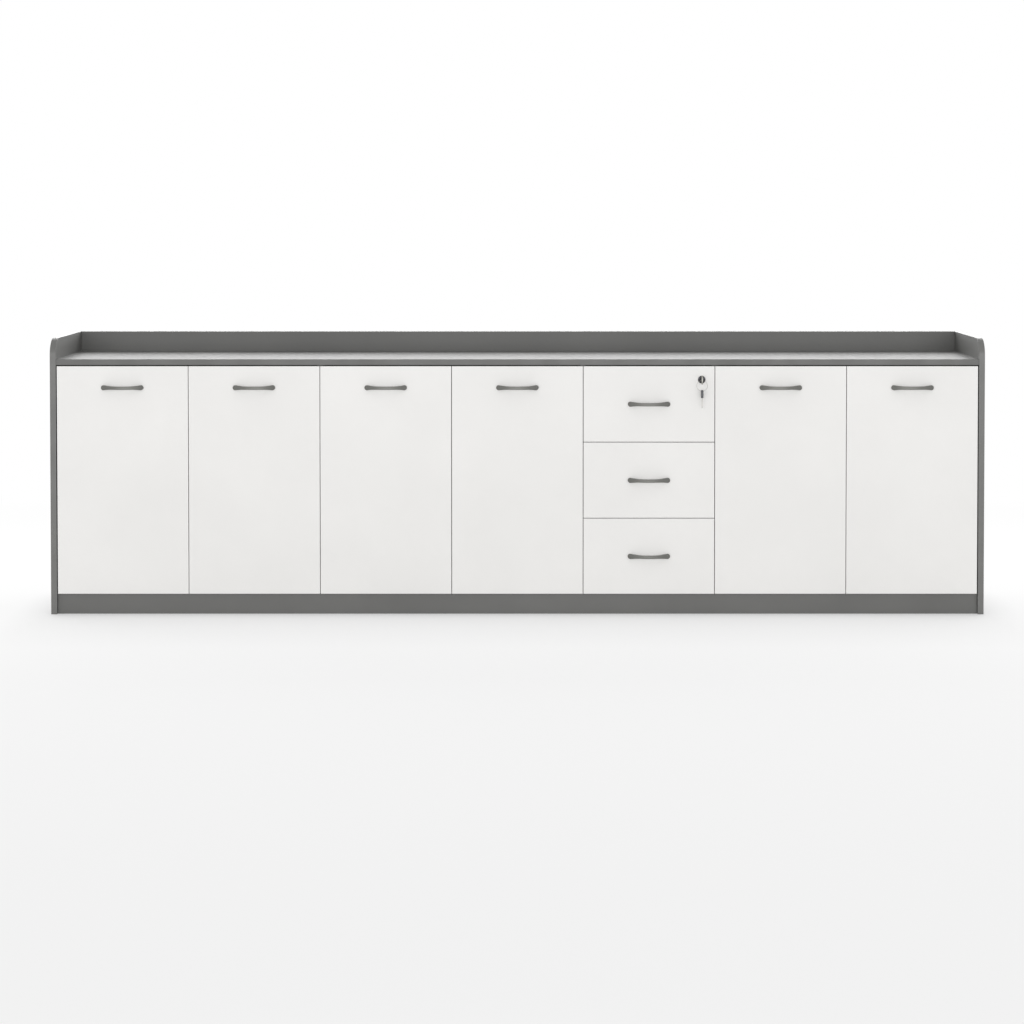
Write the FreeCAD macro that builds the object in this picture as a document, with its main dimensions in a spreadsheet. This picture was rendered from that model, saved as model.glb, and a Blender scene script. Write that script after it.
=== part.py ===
import FreeCAD, Part

import math
import os
import sys

import Sketcher

# Long low office credenza: melamine carcass with a raised gallery, three double-door
# bays and one bank of three lockable drawers.
#
# Frame, in millimetres: +X runs to the right as seen from the front, the fronts face -Y,
# +Z is up, and the floor is z = 0. The origin is below the centre of the whole object.

COLUMNS = 7
DIVIDER_AFTER_COLUMN = (2, 4, 5)
DRAWER_COLUMN = 4
DRAWERS = 3
LEFT, RIGHT = 1, -1  # the way from a vertical board's face into the bay beside it

SIZES = [
    ("overall_length", 2800, "outer face to outer face of the end panels"),
    ("overall_depth", 400, "front edge to back edge of the end panels"),
    ("worktop_height", 767, "floor to the top of the worktop"),
    ("gallery_rise", 62, "gallery top above the worktop"),
    ("board_thickness", 18, "carcass board thickness"),
    ("corner_radius", 50, "front top corner of the end panels"),
    ("kick_height", 62, "floor to the underside of the bottom panel"),
    ("carcass_setback", 20, "front plane to the carcass front edges"),
    ("kick_setback", 10, "front plane to the toe kick"),
    ("kick_gap", 2, "toe kick to the underside of the bottom panel and of the fronts"),
    ("back_thickness", 8, "back panels"),
    ("front_thickness", 18, "door panels and drawer fronts"),
    ("front_gap", 2, "between neighbouring fronts"),
    ("end_gap", 3, "outer doors to the end panels"),
    ("top_gap", 3, "fronts to the underside of the worktop"),
    ("shelf_setback", 45, "front plane to the shelf's front edge"),
    ("shelf_side_gap", 1, "shelf to the boards beside it and behind it"),
    ("shelf_height", 403, "floor to the underside of the shelves"),
    ("pin_radius", 2.5, "shelf pin"),
    ("pin_sunk", 8, "shelf pin inside its hole"),
    ("pin_proud", 9, "shelf pin under the shelf"),
    ("pin_inset", 40, "shelf pin to the shelf's front or back edge"),
    ("hole_pitch", 32, "between rows of shelf pin holes"),
    ("fit_clearance", 0.05, "radial clearance of pins, bolts and cams in their holes"),
    ("cup_radius", 17.5, "hinge cup"),
    ("cup_depth", 11.5, "hinge cup pocket in the door"),
    ("cup_wall", 1.2, "hinge cup sheet"),
    ("cup_inset", 22.5, "door edge to the cup's centre"),
    ("cup_clearance", 0.1, "hinge cup in its pocket"),
    ("flange_thickness", 1, "hinge cup flange on the back of the door"),
    ("flange_overlap", 1.5, "flange rim outside the cup"),
    ("flange_tall", 58, "flange ears from end to end"),
    ("flange_wide", 13, "flange ears across"),
    ("hinge_inset", 100, "door end to the hinge's centre"),
    ("plate_depth", 37, "carcass front edge to the mounting plate's screws"),
    ("plate_thick", 2, "mounting plate wings"),
    ("plate_tall", 52, "mounting plate wings from end to end"),
    ("plate_wide", 16, "mounting plate wings across"),
    ("saddle_high", 8, "mounting plate saddle off the board"),
    ("saddle_wide", 13, "mounting plate saddle across"),
    ("saddle_long", 40, "mounting plate saddle along the depth"),
    ("arm_thick", 5, "hinge arm on the saddle"),
    ("arm_wide", 15, "hinge arm across"),
    ("arm_gap", 0.3, "hinge arm tip to the cup flange"),
    ("knuckle_wide", 12, "hinge knuckle in front of the saddle"),
    ("handle_spacing", 96, "between the two handle screws"),
    ("handle_length", 127, "handle from end to end"),
    ("handle_end_radius", 7.4, "half the height of a handle's rounded end"),
    ("handle_waist", 4.7, "half the height of a handle's waist"),
    ("handle_waist_half", 28, "half the length of the straight waist"),
    ("handle_reach", 28, "handle proud of the fronts"),
    ("handle_bow_height", 24, "rise of the outer curve over the handle's length"),
    ("handle_grip_thickness", 7.5, "thickness of the handle in the middle"),
    ("handle_foot_length", 23, "handle foot along the front"),
    ("handle_edge_radius", 1.6, "rounded edges of the handle"),
    ("handle_drop", 64, "door's top edge to the handle's centre"),
    ("screw_radius", 2, "handle screw"),
    ("screw_bite_length", 9, "handle screw inside the handle"),
    ("screw_head_radius", 4, "radius of the handle screw's head"),
    ("screw_head_high", 2.2, "handle screw's head"),
    ("screw_clearance", 0.1, "handle screw in its hole"),
    ("slide_back_gap", 4, "drawer slides to the back panel"),
    ("slide_height", 45, "drawer slide"),
    ("slide_space", 12.7, "drawer side to the carcass board"),
    ("slide_sheet_thickness", 1.4, "drawer slide steel"),
    ("slide_play", 0.3, "between nested slide members"),
    ("slide_start", 38, "front plane to the front of the slides"),
    ("slide_web_gap", 0.5, "between the webs of the outer and middle members"),
    ("outer_flange", 10.5, "outer slide member across"),
    ("inner_flange", 8.2, "inner slide member across"),
    ("slide_rise", 42, "bottom of the drawer box to the slide's centre"),
    ("box_board_thickness", 15, "drawer box boards"),
    ("box_bottom_thickness", 8, "drawer bottom board"),
    ("box_bottom_rise", 12, "drawer bottom above the sides' lower edge"),
    ("box_rise", 22, "drawer front's lower edge to the drawer box"),
    ("box_top_room", 64, "drawer box to the drawer front's upper edge"),
    ("box_back_gap", 24, "drawer box to the back panel"),
    ("lock_inset", 38.4, "drawer front's side edge to the lock's axis"),
    ("lock_drop", 40, "drawer front's top edge to the lock's axis"),
    ("rosette_radius", 11.3, "lock rosette"),
    ("rosette_thick", 2, "lock rosette proud of the front"),
    ("barrel_radius", 9, "lock housing"),
    ("barrel_length", 24, "lock housing behind the front plane"),
    ("barrel_clearance", 0.1, "lock housing in the drawer front"),
    ("plug_radius", 7, "lock plug"),
    ("plug_proud", 2.6, "lock plug proud of the front plane"),
    ("plug_disc_radius", 8.5, "radius of the disc behind the housing"),
    ("plug_disc_gap", 0.3, "disc to the housing"),
    ("plug_disc_thick", 2.5, "disc behind the housing"),
    ("throw_radius", 6, "plug axis to the throw pin"),
    ("throw_angle", 45, "throw pin below the horizontal when unlocked"),
    ("throw_pin_radius", 2, "radius of the throw pin"),
    ("throw_pin_long", 5.5, "throw pin behind the disc"),
    ("throw_slot_play", 0.4, "throw pin in the lock bar's slot"),
    ("key_thick", 3.6, "head of the key in the lock"),
    ("key_tall", 27, "head of the key in the lock"),
    ("key_reach", 27, "key in the lock proud of the front plane"),
    ("key_head_start", 6, "front plane to the head of the key in the lock"),
    ("key_hole_depth", 17, "front plane to the ring's plane"),
    ("key_hole_radius", 3, "radius of the hole in a key head"),
    ("blade_thick", 2, "key blades"),
    ("blade_wide", 7, "key blades"),
    ("blade_sunk", 20, "key blade behind the front plane"),
    ("blade_play", 0.1, "key blade in the plug"),
    ("ring_radius", 16, "key ring to the middle of its wire"),
    ("ring_wire_radius", 0.8, "radius of the key ring's wire"),
    ("ring_play", 0.7, "key ring in the key heads"),
    ("spare_thick", 6.8, "head of the spare key"),
    ("spare_tall", 24, "head of the spare key"),
    ("spare_wide", 19, "head of the spare key"),
    ("spare_hole_drop", 5, "top of the spare key's head to its hole"),
    ("spare_blade", 30, "blade of the spare key"),
    ("bar_thick", 1.3, "lock bar strip"),
    ("bar_wide", 12, "lock bar strip"),
    ("bar_start", 22, "front plane to the lock bar strip"),
    ("bar_foot_height", 90, "floor to the lower end of the lock bar"),
    ("tab_start", 27.3, "front plane to the lock bar's top tab"),
    ("tab_thick", 2, "lock bar's top tab and fingers"),
    ("tab_high", 14, "lock bar's top tab"),
    ("tab_edge", 3.5, "steel around the lock bar's slot"),
    ("peg_radius", 2.5, "locking peg on a drawer"),
    ("peg_depth", 29.5, "front plane to the locking pegs"),
    ("peg_drop", 25, "top of the drawer box to its locking peg"),
    ("peg_end_gap", 1, "locking peg to the lock bar strip"),
    ("finger_gap", 0.5, "locking peg to the finger that blocks it"),
    ("finger_drop", 1.5, "finger below the peg when unlocked"),
    ("finger_high", 10, "lock bar finger"),
    ("finger_long", 9, "lock bar finger off the strip"),
    ("guide_radius", 3, "shoulder of a guide screw"),
    ("guide_head_radius", 5, "head of a guide screw"),
    ("guide_head_high", 1.5, "head of a guide screw"),
    ("guide_play", 0.3, "guide screw in the lock bar's slot and under its head"),
    ("guide_travel", 8.5, "travel that the guide slots allow"),
    ("guide_sunk", 10, "guide screw inside the divider"),
    ("cam_radius", 7.5, "cam lock"),
    ("cam_depth", 12.5, "cam lock"),
    ("cam_inset", 34, "board end to the cam lock's centre"),
    ("bolt_radius", 3.5, "cam bolt"),
    ("bolt_sunk", 11, "cam bolt inside the board it draws in"),
    ("cam_front_inset", 60, "front plane to the front row of cam locks"),
    ("cam_back_inset", 50, "back edge to the back row of cam locks"),
    ("buffer_radius", 4, "door buffer"),
    ("buffer_thick", 1.7, "door buffer"),
    ("buffer_inset", 12, "front's edge to a buffer"),
]

doc = FreeCAD.newDocument("office_credenza")
sheet = doc.addObject("Spreadsheet::Sheet", "dim")
nodes = []


def fill_sheet():
    """Write each driving size into its own named cell."""
    for row, (alias, value, note) in enumerate(SIZES, start=1):
        sheet.set(f"A{row}", note)
        sheet.set(f"B{row}", str(value))
        sheet.setAlias(f"B{row}", alias)
    doc.recompute()


# --------------------------------------------------------------------------------------
# Derived places, as expressions of the sheet's cells.

FRONT = "(0 - (dim.overall_depth - dim.handle_reach) / 2)"
BACK = f"({FRONT} + dim.overall_depth)"
BACK_PANEL = f"({BACK} - dim.back_thickness)"
CARCASS_FRONT = f"({FRONT} + dim.carcass_setback)"
DOOR_BACK = f"({FRONT} + dim.front_thickness)"
INNER_HALF = "(dim.overall_length / 2 - dim.board_thickness)"
FLOOR_TOP = "(dim.kick_height + dim.board_thickness)"
WORKTOP_UNDER = "(dim.worktop_height - dim.board_thickness)"
FRONT_TOP = f"({WORKTOP_UNDER} - dim.top_gap)"
FRONT_HEIGHT = f"({FRONT_TOP} - dim.kick_height)"
FRONT_WIDTH = (
    f"((2 * {INNER_HALF} - 2 * dim.end_gap - {COLUMNS - 1} * dim.front_gap) / {COLUMNS})"
)
DRAWER_HEIGHT = f"(({FRONT_HEIGHT} - {DRAWERS - 1} * dim.front_gap) / {DRAWERS})"
HANDLE_HALF = "(dim.handle_spacing / 2)"
BOX_HEIGHT = f"({DRAWER_HEIGHT} - dim.box_rise - dim.box_top_room)"
BOX_DEPTH = f"({BACK_PANEL} - dim.box_back_gap - {DOOR_BACK})"
SLIDE_LENGTH = f"({BACK_PANEL} - dim.slide_back_gap - {FRONT} - dim.slide_start)"
DRAWER_BAY_LEFT = 2
DRAWER_BAY_RIGHT = 3


def column_left(column):
    """X of the left edge of a column of fronts, counted from 0."""
    return f"(dim.end_gap - {INNER_HALF} + {column} * ({FRONT_WIDTH} + dim.front_gap))"


def divider_middle(number):
    """X of the middle of a divider, counted from 1: the middle of the gap before a column."""
    return f"({column_left(DIVIDER_AFTER_COLUMN[number - 1])} - dim.front_gap / 2)"


def face_x(board, way):
    """X of the face of a vertical board that looks into the bay on the given side.

    Board 0 is the left end panel, 1 to 3 are the dividers and 4 is the right end panel."""
    if board == 0:
        return f"(0 - {INNER_HALF})"
    if board == len(DIVIDER_AFTER_COLUMN) + 1:
        return INNER_HALF
    return f"({divider_middle(board)} + {way} * dim.board_thickness / 2)"


def span_from(face, way, near, far):
    """Lower X and length of a block from near to far off a face, into the bay."""
    low = f"({face} + {near})" if way == LEFT else f"({face} - {far})"
    return low, f"({far} - ({near}))"


def drawer_bottom(number):
    """Z of the lower edge of a drawer front; drawer 1 is the top one."""
    return f"(dim.kick_height + {DRAWERS - number} * ({DRAWER_HEIGHT} + dim.front_gap))"


def box_bottom(number):
    """Z of the lower edge of a drawer box."""
    return f"({drawer_bottom(number)} + dim.box_rise)"


def door_edge_off_face(board):
    """Distance from a board's face to the hinge edge of the door, into the bay."""
    if board in (0, len(DIVIDER_AFTER_COLUMN) + 1):
        return "dim.end_gap"
    return "((dim.front_gap - dim.board_thickness) / 2)"


LOCK_X = f"({column_left(DRAWER_COLUMN)} + {FRONT_WIDTH} - dim.lock_inset)"
LOCK_Z = f"({FRONT_TOP} - dim.lock_drop)"
THROW_LEFT = "(dim.throw_radius * cos(dim.throw_angle * 1deg))"
THROW_DOWN = "(dim.throw_radius * sin(dim.throw_angle * 1deg))"

# Doors: column of fronts, board that carries the hinges, and the way from it to the door.
DOORS = [
    (0, 0, LEFT),
    (1, 1, RIGHT),
    (2, 1, LEFT),
    (3, 2, RIGHT),
    (5, 3, LEFT),
    (6, 4, RIGHT),
]
# Door bays: the board to the left and the board to the right.
DOOR_BAYS = [(0, 1), (1, 2), (3, 4)]
BAYS = [(0, 1), (1, 2), (2, 3), (3, 4)]


# --------------------------------------------------------------------------------------
# Solids whose sizes are bound to the sheet.

TURN = {
    "X": FreeCAD.Rotation(FreeCAD.Vector(0, 1, 0), 90),
    "Y": FreeCAD.Rotation(FreeCAD.Vector(1, 0, 0), -90),
    "Z": FreeCAD.Rotation(),
}


def bind(obj, **expressions):
    """Bind properties to expressions; x, y and z are the placement's position."""
    for key, expression in expressions.items():
        path = f"Placement.Base.{key}" if key in ("x", "y", "z") else key
        obj.setExpression(path, expression)
    return obj


def block(name, x, y, z, along_x, along_y, along_z):
    """A block from its lower corner."""
    obj = doc.addObject("Part::Box", name)
    return bind(obj, x=x, y=y, z=z, Length=along_x, Width=along_y, Height=along_z)


def rod(name, axis, x, y, z, radius, length):
    """A cylinder that starts at a point and runs along +X, +Y or +Z."""
    obj = doc.addObject("Part::Cylinder", name)
    obj.Placement = FreeCAD.Placement(FreeCAD.Vector(), TURN[axis])
    return bind(obj, x=x, y=y, z=z, Radius=radius, Height=length)


def joined(name, pieces):
    """One solid made of overlapping or touching pieces."""
    obj = doc.addObject("Part::MultiFuse", name)
    obj.Shapes = pieces
    obj.Refine = True
    return obj


def group(name, pieces):
    """Separate solids that share one sub-part."""
    obj = doc.addObject("Part::Compound", name)
    obj.Links = pieces
    return obj


def cut(name, base, tools):
    """A solid with one or more tools taken out of it."""
    obj = doc.addObject("Part::Cut", name)
    obj.Base = base
    obj.Tool = tools[0] if len(tools) == 1 else group(f"{name}_tools", tools)
    return obj


def node(obj, label):
    """Register a finished sub-part under the name of its file."""
    obj.Label = label
    nodes.append(obj)
    return obj


# --------------------------------------------------------------------------------------
# Holes and fasteners of the carcass.


def pin_rows():
    """Y of the front and the back row of shelf pins."""
    front = f"({FRONT} + dim.shelf_setback + dim.pin_inset)"
    back = f"({BACK_PANEL} - dim.shelf_side_gap - dim.pin_inset)"
    return front, back


def pin_holes(board, way):
    """Two rows of five shelf pin holes in one face of a vertical board."""
    low, length = span_from(face_x(board, way), way, "(0 - dim.pin_sunk)", "0")
    radius = "dim.pin_radius + dim.fit_clearance"
    holes = []
    for row, y in enumerate(pin_rows()):
        for step in range(-2, 3):
            name = f"pin_hole_{board}_{way + 1}_{row}_{step + 2}"
            z = f"dim.shelf_height - dim.pin_radius + {step} * dim.hole_pitch"
            holes.append(rod(name, "X", low, y, z, radius, length))
    return holes


def cam_rows():
    """Y of the front and the back row of cam locks."""
    return f"({FRONT} + dim.cam_front_inset)", f"({BACK} - dim.cam_back_inset)"


def cam_face(number):
    """The side of a divider that shows its cam locks, away from the drawer slides."""
    return LEFT if number == DRAWER_BAY_RIGHT else RIGHT


def upright_cams(number, clearance, prefix):
    """Cam locks of a divider and the bolts that they draw in, grown by a clearance."""
    middle = divider_middle(number)
    way = cam_face(number)
    low, depth = span_from(face_x(number, way), way, "(0 - dim.cam_depth)", "0")
    shank = "(dim.cam_inset - dim.cam_radius)"
    cams, bolts = [], []
    for row, y in enumerate(cam_rows()):
        top = f"({WORKTOP_UNDER} - dim.cam_inset)"
        bottom = f"({FLOOR_TOP} + dim.cam_inset)"
        bolt_starts = (f"{WORKTOP_UNDER} - {shank}", f"{FLOOR_TOP} - dim.bolt_sunk")
        for end, (z, start) in enumerate(zip((top, bottom), bolt_starts)):
            tag = f"{prefix}_{number}_{row}_{end}"
            radius = f"dim.cam_radius + {clearance}"
            cams.append(rod(f"{tag}_cam", "X", low, y, z, radius, depth))
            radius = f"dim.bolt_radius + {clearance}"
            length = f"{shank} + dim.bolt_sunk"
            bolts.append(rod(f"{tag}_bolt", "Z", middle, y, start, radius, length))
    return cams, bolts


def level_cams(underside, clearance, prefix):
    """Cam locks in the underside of a level board's ends and their bolts, grown by a clearance."""
    middle = f"{underside} + dim.board_thickness / 2"
    shank = "(dim.cam_inset - dim.cam_radius)"
    cams, bolts = [], []
    for row, y in enumerate(cam_rows()):
        for side in (LEFT, RIGHT):
            tag = f"{prefix}_{row}_{side + 1}"
            x = f"{side} * (dim.cam_inset - {INNER_HALF})"
            radius = f"dim.cam_radius + {clearance}"
            cams.append(rod(f"{tag}_cam", "Z", x, y, underside, radius, "dim.cam_depth"))
            face = f"(0 - {INNER_HALF})" if side == LEFT else INNER_HALF
            start, length = span_from(face, side, "(0 - dim.bolt_sunk)", shank)
            radius = f"dim.bolt_radius + {clearance}"
            bolts.append(rod(f"{tag}_bolt", "X", start, y, middle, radius, length))
    return cams, bolts


def guide_heights():
    """Z of the lock bar's guide screws: level with the top of each drawer box."""
    return [f"({box_bottom(number)} + {BOX_HEIGHT})" for number in range(1, DRAWERS + 1)]


# --------------------------------------------------------------------------------------
# Carcass.


def end_panel_body(name, x):
    """End panel: a side profile with one rounded corner, padded to the board's thickness."""
    body = doc.addObject("PartDesign::Body", f"{name}_body")
    plane = [item for item in body.Origin.OriginFeatures if item.Role == "YZ_Plane"][0]
    sketch = body.newObject("Sketcher::SketchObject", f"{name}_profile")
    sketch.AttachmentSupport = (plane, [""])
    sketch.MapMode = "FlatFace"

    depth = sheet.get("overall_depth")
    radius = sheet.get("corner_radius")
    height = sheet.get("worktop_height") + sheet.get("gallery_rise")
    front = (sheet.get("handle_reach") - depth) / 2
    corners = [
        FreeCAD.Vector(front, 0, 0),
        FreeCAD.Vector(front + depth, 0, 0),
        FreeCAD.Vector(front + depth, height, 0),
        FreeCAD.Vector(front + radius, height, 0),
        FreeCAD.Vector(front, height - radius, 0),
    ]
    for start, end in zip(corners[:3], corners[1:4]):
        sketch.addGeometry(Part.LineSegment(start, end), False)
    centre = FreeCAD.Vector(front + radius, height - radius, 0)
    circle = Part.Circle(centre, FreeCAD.Vector(0, 0, 1), radius)
    sketch.addGeometry(Part.ArcOfCircle(circle, math.pi / 2, math.pi), False)
    sketch.addGeometry(Part.LineSegment(corners[4], corners[0]), False)
    bottom, back, top, arc, front_edge = range(5)
    start, end = 1, 2

    sketch.addConstraint(Sketcher.Constraint("Coincident", bottom, end, back, start))
    sketch.addConstraint(Sketcher.Constraint("Coincident", back, end, top, start))
    sketch.addConstraint(Sketcher.Constraint("Tangent", top, end, arc, start))
    sketch.addConstraint(Sketcher.Constraint("Tangent", arc, end, front_edge, start))
    sketch.addConstraint(Sketcher.Constraint("Coincident", front_edge, end, bottom, start))
    sketch.addConstraint(Sketcher.Constraint("Horizontal", bottom))
    sketch.addConstraint(Sketcher.Constraint("Vertical", back))
    sketch.addConstraint(Sketcher.Constraint("Horizontal", top))
    sketch.addConstraint(Sketcher.Constraint("Vertical", front_edge))
    sketch.addConstraint(Sketcher.Constraint("PointOnObject", bottom, start, -1))
    sized = [
        ("back_edge", Sketcher.Constraint("DistanceX", -1, 1, bottom, end, front + depth), BACK),
        (
            "depth",
            Sketcher.Constraint("DistanceX", bottom, start, bottom, end, depth),
            "dim.overall_depth",
        ),
        (
            "height",
            Sketcher.Constraint("DistanceY", back, start, back, end, height),
            "dim.worktop_height + dim.gallery_rise",
        ),
        ("corner", Sketcher.Constraint("Radius", arc, radius), "dim.corner_radius"),
    ]
    for constraint_name, constraint, expression in sized:
        index = sketch.addConstraint(constraint)
        sketch.renameConstraint(index, constraint_name)
        sketch.setExpression(f"Constraints.{constraint_name}", expression)

    pad = body.newObject("PartDesign::Pad", f"{name}_pad")
    pad.Profile = sketch
    pad.setExpression("Length", "dim.board_thickness")
    body.Tip = pad
    return bind(body, x=x)


def end_panels():
    """The two end panels, from the floor to the top of the gallery."""
    last = len(DIVIDER_AFTER_COLUMN) + 1
    starts = ("0 - dim.overall_length / 2", INNER_HALF)
    sides = [("left_end_panel", 0, LEFT), ("right_end_panel", last, RIGHT)]
    for (label, board, way), start in zip(sides, starts):
        tools = pin_holes(board, way)
        for underside, place in ((WORKTOP_UNDER, "top"), ("dim.kick_height", "base")):
            bolts = level_cams(underside, "dim.fit_clearance", f"{label}_{place}")[1]
            tools += [bolt for bolt in bolts if bolt.Name.endswith(f"_{way + 1}_bolt")]
        node(cut(label, end_panel_body(label, start), tools), label)


def level_board(label, y, z, deep, upper):
    """A board between the end panels with its cam locks and the dividers' bolt holes."""
    x = f"0 - {INNER_HALF}"
    board = block(f"{label}_board", x, y, z, f"2 * {INNER_HALF}", deep, "dim.board_thickness")
    cams, bolts = level_cams(z, "dim.fit_clearance", label)
    tools = cams + bolts
    for number in range(1, len(DIVIDER_AFTER_COLUMN) + 1):
        uprights = upright_cams(number, "dim.fit_clearance", label)[1]
        tools += [bolt for bolt in uprights if bolt.Name.endswith(f"_{0 if upper else 1}_bolt")]
    node(cut(label, board, tools), label)


def carcass_boards():
    """Worktop, bottom panel, gallery board, toe kick, rear plinth, cross rails, back panels."""
    x = f"0 - {INNER_HALF}"
    length = f"2 * {INNER_HALF}"
    level_board("worktop", FRONT, WORKTOP_UNDER, "dim.overall_depth - dim.board_thickness", True)
    deep = "dim.overall_depth - dim.carcass_setback"
    level_board("bottom_panel", CARCASS_FRONT, "dim.kick_height", deep, False)
    y = f"{BACK} - dim.board_thickness"
    high = "dim.board_thickness + dim.gallery_rise"
    gallery = block("gallery", x, y, WORKTOP_UNDER, length, "dim.board_thickness", high)
    node(gallery, "gallery_board")
    high = "dim.kick_height - dim.kick_gap"
    kick = block("kick", x, f"{FRONT} + dim.kick_setback", "0", length, "dim.board_thickness", high)
    node(kick, "toe_kick")
    plinth = block("plinth", x, y, "0", length, "dim.board_thickness", "dim.kick_height")
    node(plinth, "rear_plinth")

    rails = []
    for number in range(1, len(DIVIDER_AFTER_COLUMN) + 1):
        start = f"{FRONT} + dim.kick_setback + dim.board_thickness"
        run = "dim.overall_depth - dim.kick_setback - 2 * dim.board_thickness"
        left = f"{divider_middle(number)} - dim.board_thickness / 2"
        rails.append(block(f"rail_{number}", left, start, "0", "dim.board_thickness", run, "dim.kick_height"))
    node(group("rails", rails), "plinth_cross_rails")

    backs = []
    for index, (left, right) in enumerate(BAYS):
        start = face_x(left, LEFT)
        width = f"{face_x(right, RIGHT)} - {start}"
        high = f"{WORKTOP_UNDER} - {FLOOR_TOP}"
        name = f"back_{index + 1}"
        backs.append(block(name, start, BACK_PANEL, FLOOR_TOP, width, "dim.back_thickness", high))
    node(group("backs", backs), "back_panels")


def dividers():
    """The three uprights between the bays."""
    for number in range(1, len(DIVIDER_AFTER_COLUMN) + 1):
        label = f"divider_{number}"
        left = f"{divider_middle(number)} - dim.board_thickness / 2"
        deep = "dim.overall_depth - dim.carcass_setback"
        high = f"{WORKTOP_UNDER} - {FLOOR_TOP}"
        board = block(f"{label}_board", left, CARCASS_FRONT, FLOOR_TOP, "dim.board_thickness", deep, high)
        cams, bolts = upright_cams(number, "dim.fit_clearance", label)
        tools = cams + bolts
        for left_board, right_board in DOOR_BAYS:
            if left_board == number:
                tools += pin_holes(number, LEFT)
            if right_board == number:
                tools += pin_holes(number, RIGHT)
        if number == DRAWER_BAY_RIGHT:
            tools += guide_screw_shanks("dim.fit_clearance", "guide_hole")
        node(cut(label, board, tools), label)


def shelves():
    """One adjustable shelf in each door bay, and the pins that carry the shelves."""
    pins = []
    for index, (left, right) in enumerate(DOOR_BAYS):
        start = f"{face_x(left, LEFT)} + dim.shelf_side_gap"
        width = f"{face_x(right, RIGHT)} - {face_x(left, LEFT)} - 2 * dim.shelf_side_gap"
        y = f"{FRONT} + dim.shelf_setback"
        deep = f"{BACK_PANEL} - dim.shelf_side_gap - ({y})"
        name = f"shelf_{index + 1}"
        shelf = block(f"{name}_board", start, y, "dim.shelf_height", width, deep, "dim.board_thickness")
        node(shelf, name)
        for board, way in ((left, LEFT), (right, RIGHT)):
            near = "(0 - dim.pin_sunk)"
            low, length = span_from(face_x(board, way), way, near, "dim.pin_proud")
            z = "dim.shelf_height - dim.pin_radius"
            for row, row_y in enumerate(pin_rows()):
                tag = f"pin_{index}_{way + 1}_{row}"
                pins.append(rod(tag, "X", low, row_y, z, "dim.pin_radius", length))
    node(group("pins", pins), "shelf_pins")


def guide_screw_shanks(clearance, prefix):
    """The shanks of the lock bar's guide screws inside the divider."""
    face = face_x(DRAWER_BAY_RIGHT, RIGHT)
    y = f"{FRONT} + dim.bar_start + dim.bar_wide / 2"
    radius = f"dim.guide_radius + {clearance}"
    shanks = []
    for index, z in enumerate(guide_heights()):
        shanks.append(rod(f"{prefix}_{index}", "X", face, y, z, radius, "dim.guide_sunk"))
    return shanks


def guide_screws():
    """Shoulder screws that hold the lock bar on the divider and let it slide."""
    face = face_x(DRAWER_BAY_RIGHT, RIGHT)
    y = f"{FRONT} + dim.bar_start + dim.bar_wide / 2"
    neck = "(dim.bar_thick + 2 * dim.guide_play)"
    shanks = guide_screw_shanks("0", "guide_shank")
    screws = []
    for index, (z, shank) in enumerate(zip(guide_heights(), shanks)):
        low, length = span_from(face, RIGHT, "0", neck)
        shoulder = rod(f"guide_neck_{index}", "X", low, y, z, "dim.guide_radius", length)
        low, length = span_from(face, RIGHT, neck, f"({neck} + dim.guide_head_high)")
        head = rod(f"guide_head_{index}", "X", low, y, z, "dim.guide_head_radius", length)
        screws.append(joined(f"guide_screw_{index}", [shank, shoulder, head]))
    return screws


def carcass_fasteners():
    """Cam locks, their bolts and the lock bar's guide screws."""
    pieces = []
    for number in range(1, len(DIVIDER_AFTER_COLUMN) + 1):
        cams, bolts = upright_cams(number, "0", "fastener")
        pieces += cams + bolts
    for underside, place in ((WORKTOP_UNDER, "top"), ("dim.kick_height", "base")):
        cams, bolts = level_cams(underside, "0", f"fastener_{place}")
        pieces += cams + bolts
    node(group("fasteners", pieces + guide_screws()), "carcass_fasteners")


def buffers():
    """Soft dots on the carcass front edges, where the fronts close."""
    y = f"{CARCASS_FRONT} - dim.buffer_thick"
    dots = []
    for column in range(COLUMNS):
        left = f"{column_left(column)}"
        places = (
            f"{left} + dim.cup_inset + dim.buffer_inset",
            f"{left} + {FRONT_WIDTH} - dim.cup_inset - dim.buffer_inset",
        )
        for side, x in enumerate(places):
            z = "dim.kick_height + dim.board_thickness / 2"
            name = f"buffer_{column}_{side}"
            dots.append(rod(name, "Y", x, y, z, "dim.buffer_radius", "dim.buffer_thick"))
    for number in (1, 2):
        for side, board in enumerate((DRAWER_BAY_LEFT, DRAWER_BAY_RIGHT)):
            way = LEFT if board == DRAWER_BAY_LEFT else RIGHT
            x = f"{divider_middle(board)} + {way} * dim.board_thickness / 4"
            z = f"{drawer_bottom(number)} + {DRAWER_HEIGHT} - dim.buffer_inset"
            name = f"drawer_buffer_{number}_{side}"
            dots.append(rod(name, "Y", x, y, z, "dim.buffer_radius", "dim.buffer_thick"))
    node(group("buffer_dots", dots), "front_buffers")


# --------------------------------------------------------------------------------------
# Hinges.


def hinge_heights():
    """Z of the lower and the upper hinge of a door."""
    return "(dim.kick_height + dim.hinge_inset)", f"({FRONT_TOP} - dim.hinge_inset)"


def hinge_plate(tag, face, way, z):
    """Mounting plate: two screwed wings and the raised saddle that carries the arm."""
    middle = f"({CARCASS_FRONT} + dim.plate_depth)"
    low, thick = span_from(face, way, "0", "dim.plate_thick")
    y = f"{middle} - dim.plate_wide / 2"
    bottom = f"{z} - dim.plate_tall / 2"
    wings = block(f"{tag}_wings", low, y, bottom, thick, "dim.plate_wide", "dim.plate_tall")
    low, thick = span_from(face, way, "0", "dim.saddle_high")
    y = f"{middle} - dim.saddle_long / 2"
    bottom = f"{z} - dim.saddle_wide / 2"
    saddle = block(f"{tag}_saddle", low, y, bottom, thick, "dim.saddle_long", "dim.saddle_wide")
    return joined(f"{tag}_plate", [wings, saddle])


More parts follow.
